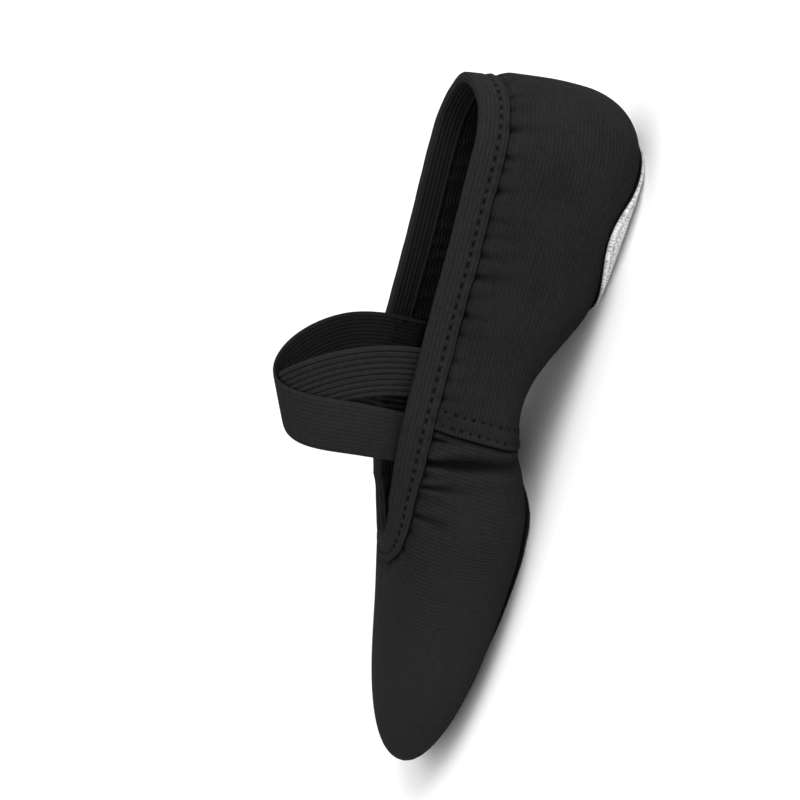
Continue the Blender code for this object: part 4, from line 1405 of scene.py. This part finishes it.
# Strap stitches: a box of black polyester thread through each of the four strap ends and the
# collar behind it. The boxes show inside the shoe.
BOX_ROWS = slice(1, 11)
BOX_COLUMNS = slice(9, 82)
box_lines = []
for face, outs in ((lower_face, lower_outs), (upper_face, upper_outs)):
    for end in (slice(None), slice(None, None, -1)):
        box_points = face[end][BOX_ROWS, BOX_COLUMNS]
        box_outs = outs[end][BOX_ROWS, BOX_COLUMNS]
        for corner in (0, -1):
            box_lines.append(spaced_stitches(box_points[corner], box_outs[corner]))
            box_lines.append(spaced_stitches(box_points[:, corner], box_outs[:, corner]))
box_mesh = stitch_mesh("strap_stitches", *joined_rows(box_lines))
add_piece("strap_stitches", box_mesh, black_thread, "elastic")

# Studio: a plain pale floor in a white room, with a large soft light above the heel side, a weak
# one on the inner side and a broad one overhead. The camera keeps the photograph's angle to the
# heel half of the shoe, rolled so that the shoe stands on its toe in the picture.
CAMERA_TURN = -11.2
CAMERA_RISE = 18.9
CAMERA_ROLL = -74.8
FOCAL_PIXELS = 3300.0
PIXELS = 800.0
SENSOR = 36.0
PIXELS_PER_MM = 2.95
SHOE_MIDDLE = Vector((0.0, 0.0, 0.040))
FRAME_RIGHT = 8.5
FRAME_DOWN = 2.7


def camera_axes(turn, rise, roll):
    """Right, up and backward directions of a camera on the big-toe side of the shoe."""
    turn, rise, roll = (math.radians(angle) for angle in (turn, rise, roll))
    back = Vector((math.cos(rise) * math.sin(turn), math.cos(rise) * math.cos(turn), math.sin(rise)))
    level = Vector((0, 0, 1)).cross(back).normalized()
    upright = back.cross(level)
    right = level * math.cos(roll) + upright * math.sin(roll)
    up = upright * math.cos(roll) - level * math.sin(roll)
    return right, up, back


camera_data = bpy.data.cameras.new("camera")
camera_data.lens = FOCAL_PIXELS / PIXELS * SENSOR
camera_data.sensor_width = SENSOR
camera_data.clip_start = 0.05
camera_data.clip_end = 30.0
camera = bpy.data.objects.new("camera", camera_data)
camera_right, camera_up, camera_back = camera_axes(CAMERA_TURN, CAMERA_RISE, CAMERA_ROLL)
aimed_at = SHOE_MIDDLE + (camera_up * FRAME_DOWN - camera_right * FRAME_RIGHT) * MM
camera_place = aimed_at + camera_back * FOCAL_PIXELS / PIXELS_PER_MM * MM
turned = Matrix((camera_right, camera_up, camera_back)).transposed().to_4x4()
camera.matrix_world = Matrix.Translation(camera_place) @ turned
bpy.context.collection.objects.link(camera)
bpy.context.scene.camera = camera

FLOOR_HALF = 6.0
FLOOR_GREY = (0.86, 0.86, 0.86, 1)
floor_mesh = bpy.data.meshes.new("floor")
floor_signs = ((-1, -1), (1, -1), (1, 1), (-1, 1))
floor_corners = [(x * FLOOR_HALF, y * FLOOR_HALF, 0) for x, y in floor_signs]
floor_mesh.from_pydata(floor_corners, [], [(0, 1, 2, 3)])
floor = bpy.data.objects.new("floor", floor_mesh)
floor_material = bpy.data.materials.new("floor_pale")
floor_material.use_nodes = True
floor_shader = floor_material.node_tree.nodes["Principled BSDF"]
floor_shader.inputs["Base Color"].default_value = FLOOR_GREY
floor_shader.inputs["Roughness"].default_value = 0.7
floor_shader.inputs["Specular IOR Level"].default_value = 0.2
floor_mesh.materials.append(floor_material)
bpy.context.collection.objects.link(floor)
LIGHT_TARGET = (0, 0, 0.03)
SUN_STRENGTH = 1.1
SUN_SPREAD = 120
SUN_TILT = (-18, -14, 0)
ROOM_STRENGTH = 0.75


def soft_light(name, place, size, power):
    """Square soft light that faces the shoe."""
    data = bpy.data.lights.new(name, "AREA")
    data.size = size
    data.energy = power
    light = bpy.data.objects.new(name, data)
    light.location = place
    facing = Vector(LIGHT_TARGET) - Vector(place)
    light.rotation_euler = facing.to_track_quat("-Z", "Y").to_euler()
    bpy.context.collection.objects.link(light)


soft_light("light_key", place=(-1.3, 0.55, 0.9), size=1.1, power=22)
soft_light("light_fill", place=(0.1, 1.6, 0.45), size=1.0, power=4)
sun_data = bpy.data.lights.new("light_sky", "SUN")
sun_data.energy = SUN_STRENGTH
sun_data.angle = math.radians(SUN_SPREAD)
sun = bpy.data.objects.new("light_sky", sun_data)
sun.rotation_euler = [math.radians(angle) for angle in SUN_TILT]
bpy.context.collection.objects.link(sun)
room = bpy.data.worlds.new("room")
room.use_nodes = True
background = room.node_tree.nodes["Background"]
background.inputs["Color"].default_value = (1, 1, 1, 1)
background.inputs["Strength"].default_value = ROOM_STRENGTH
bpy.context.scene.world = room
bpy.context.scene.view_settings.view_transform = "Standard"
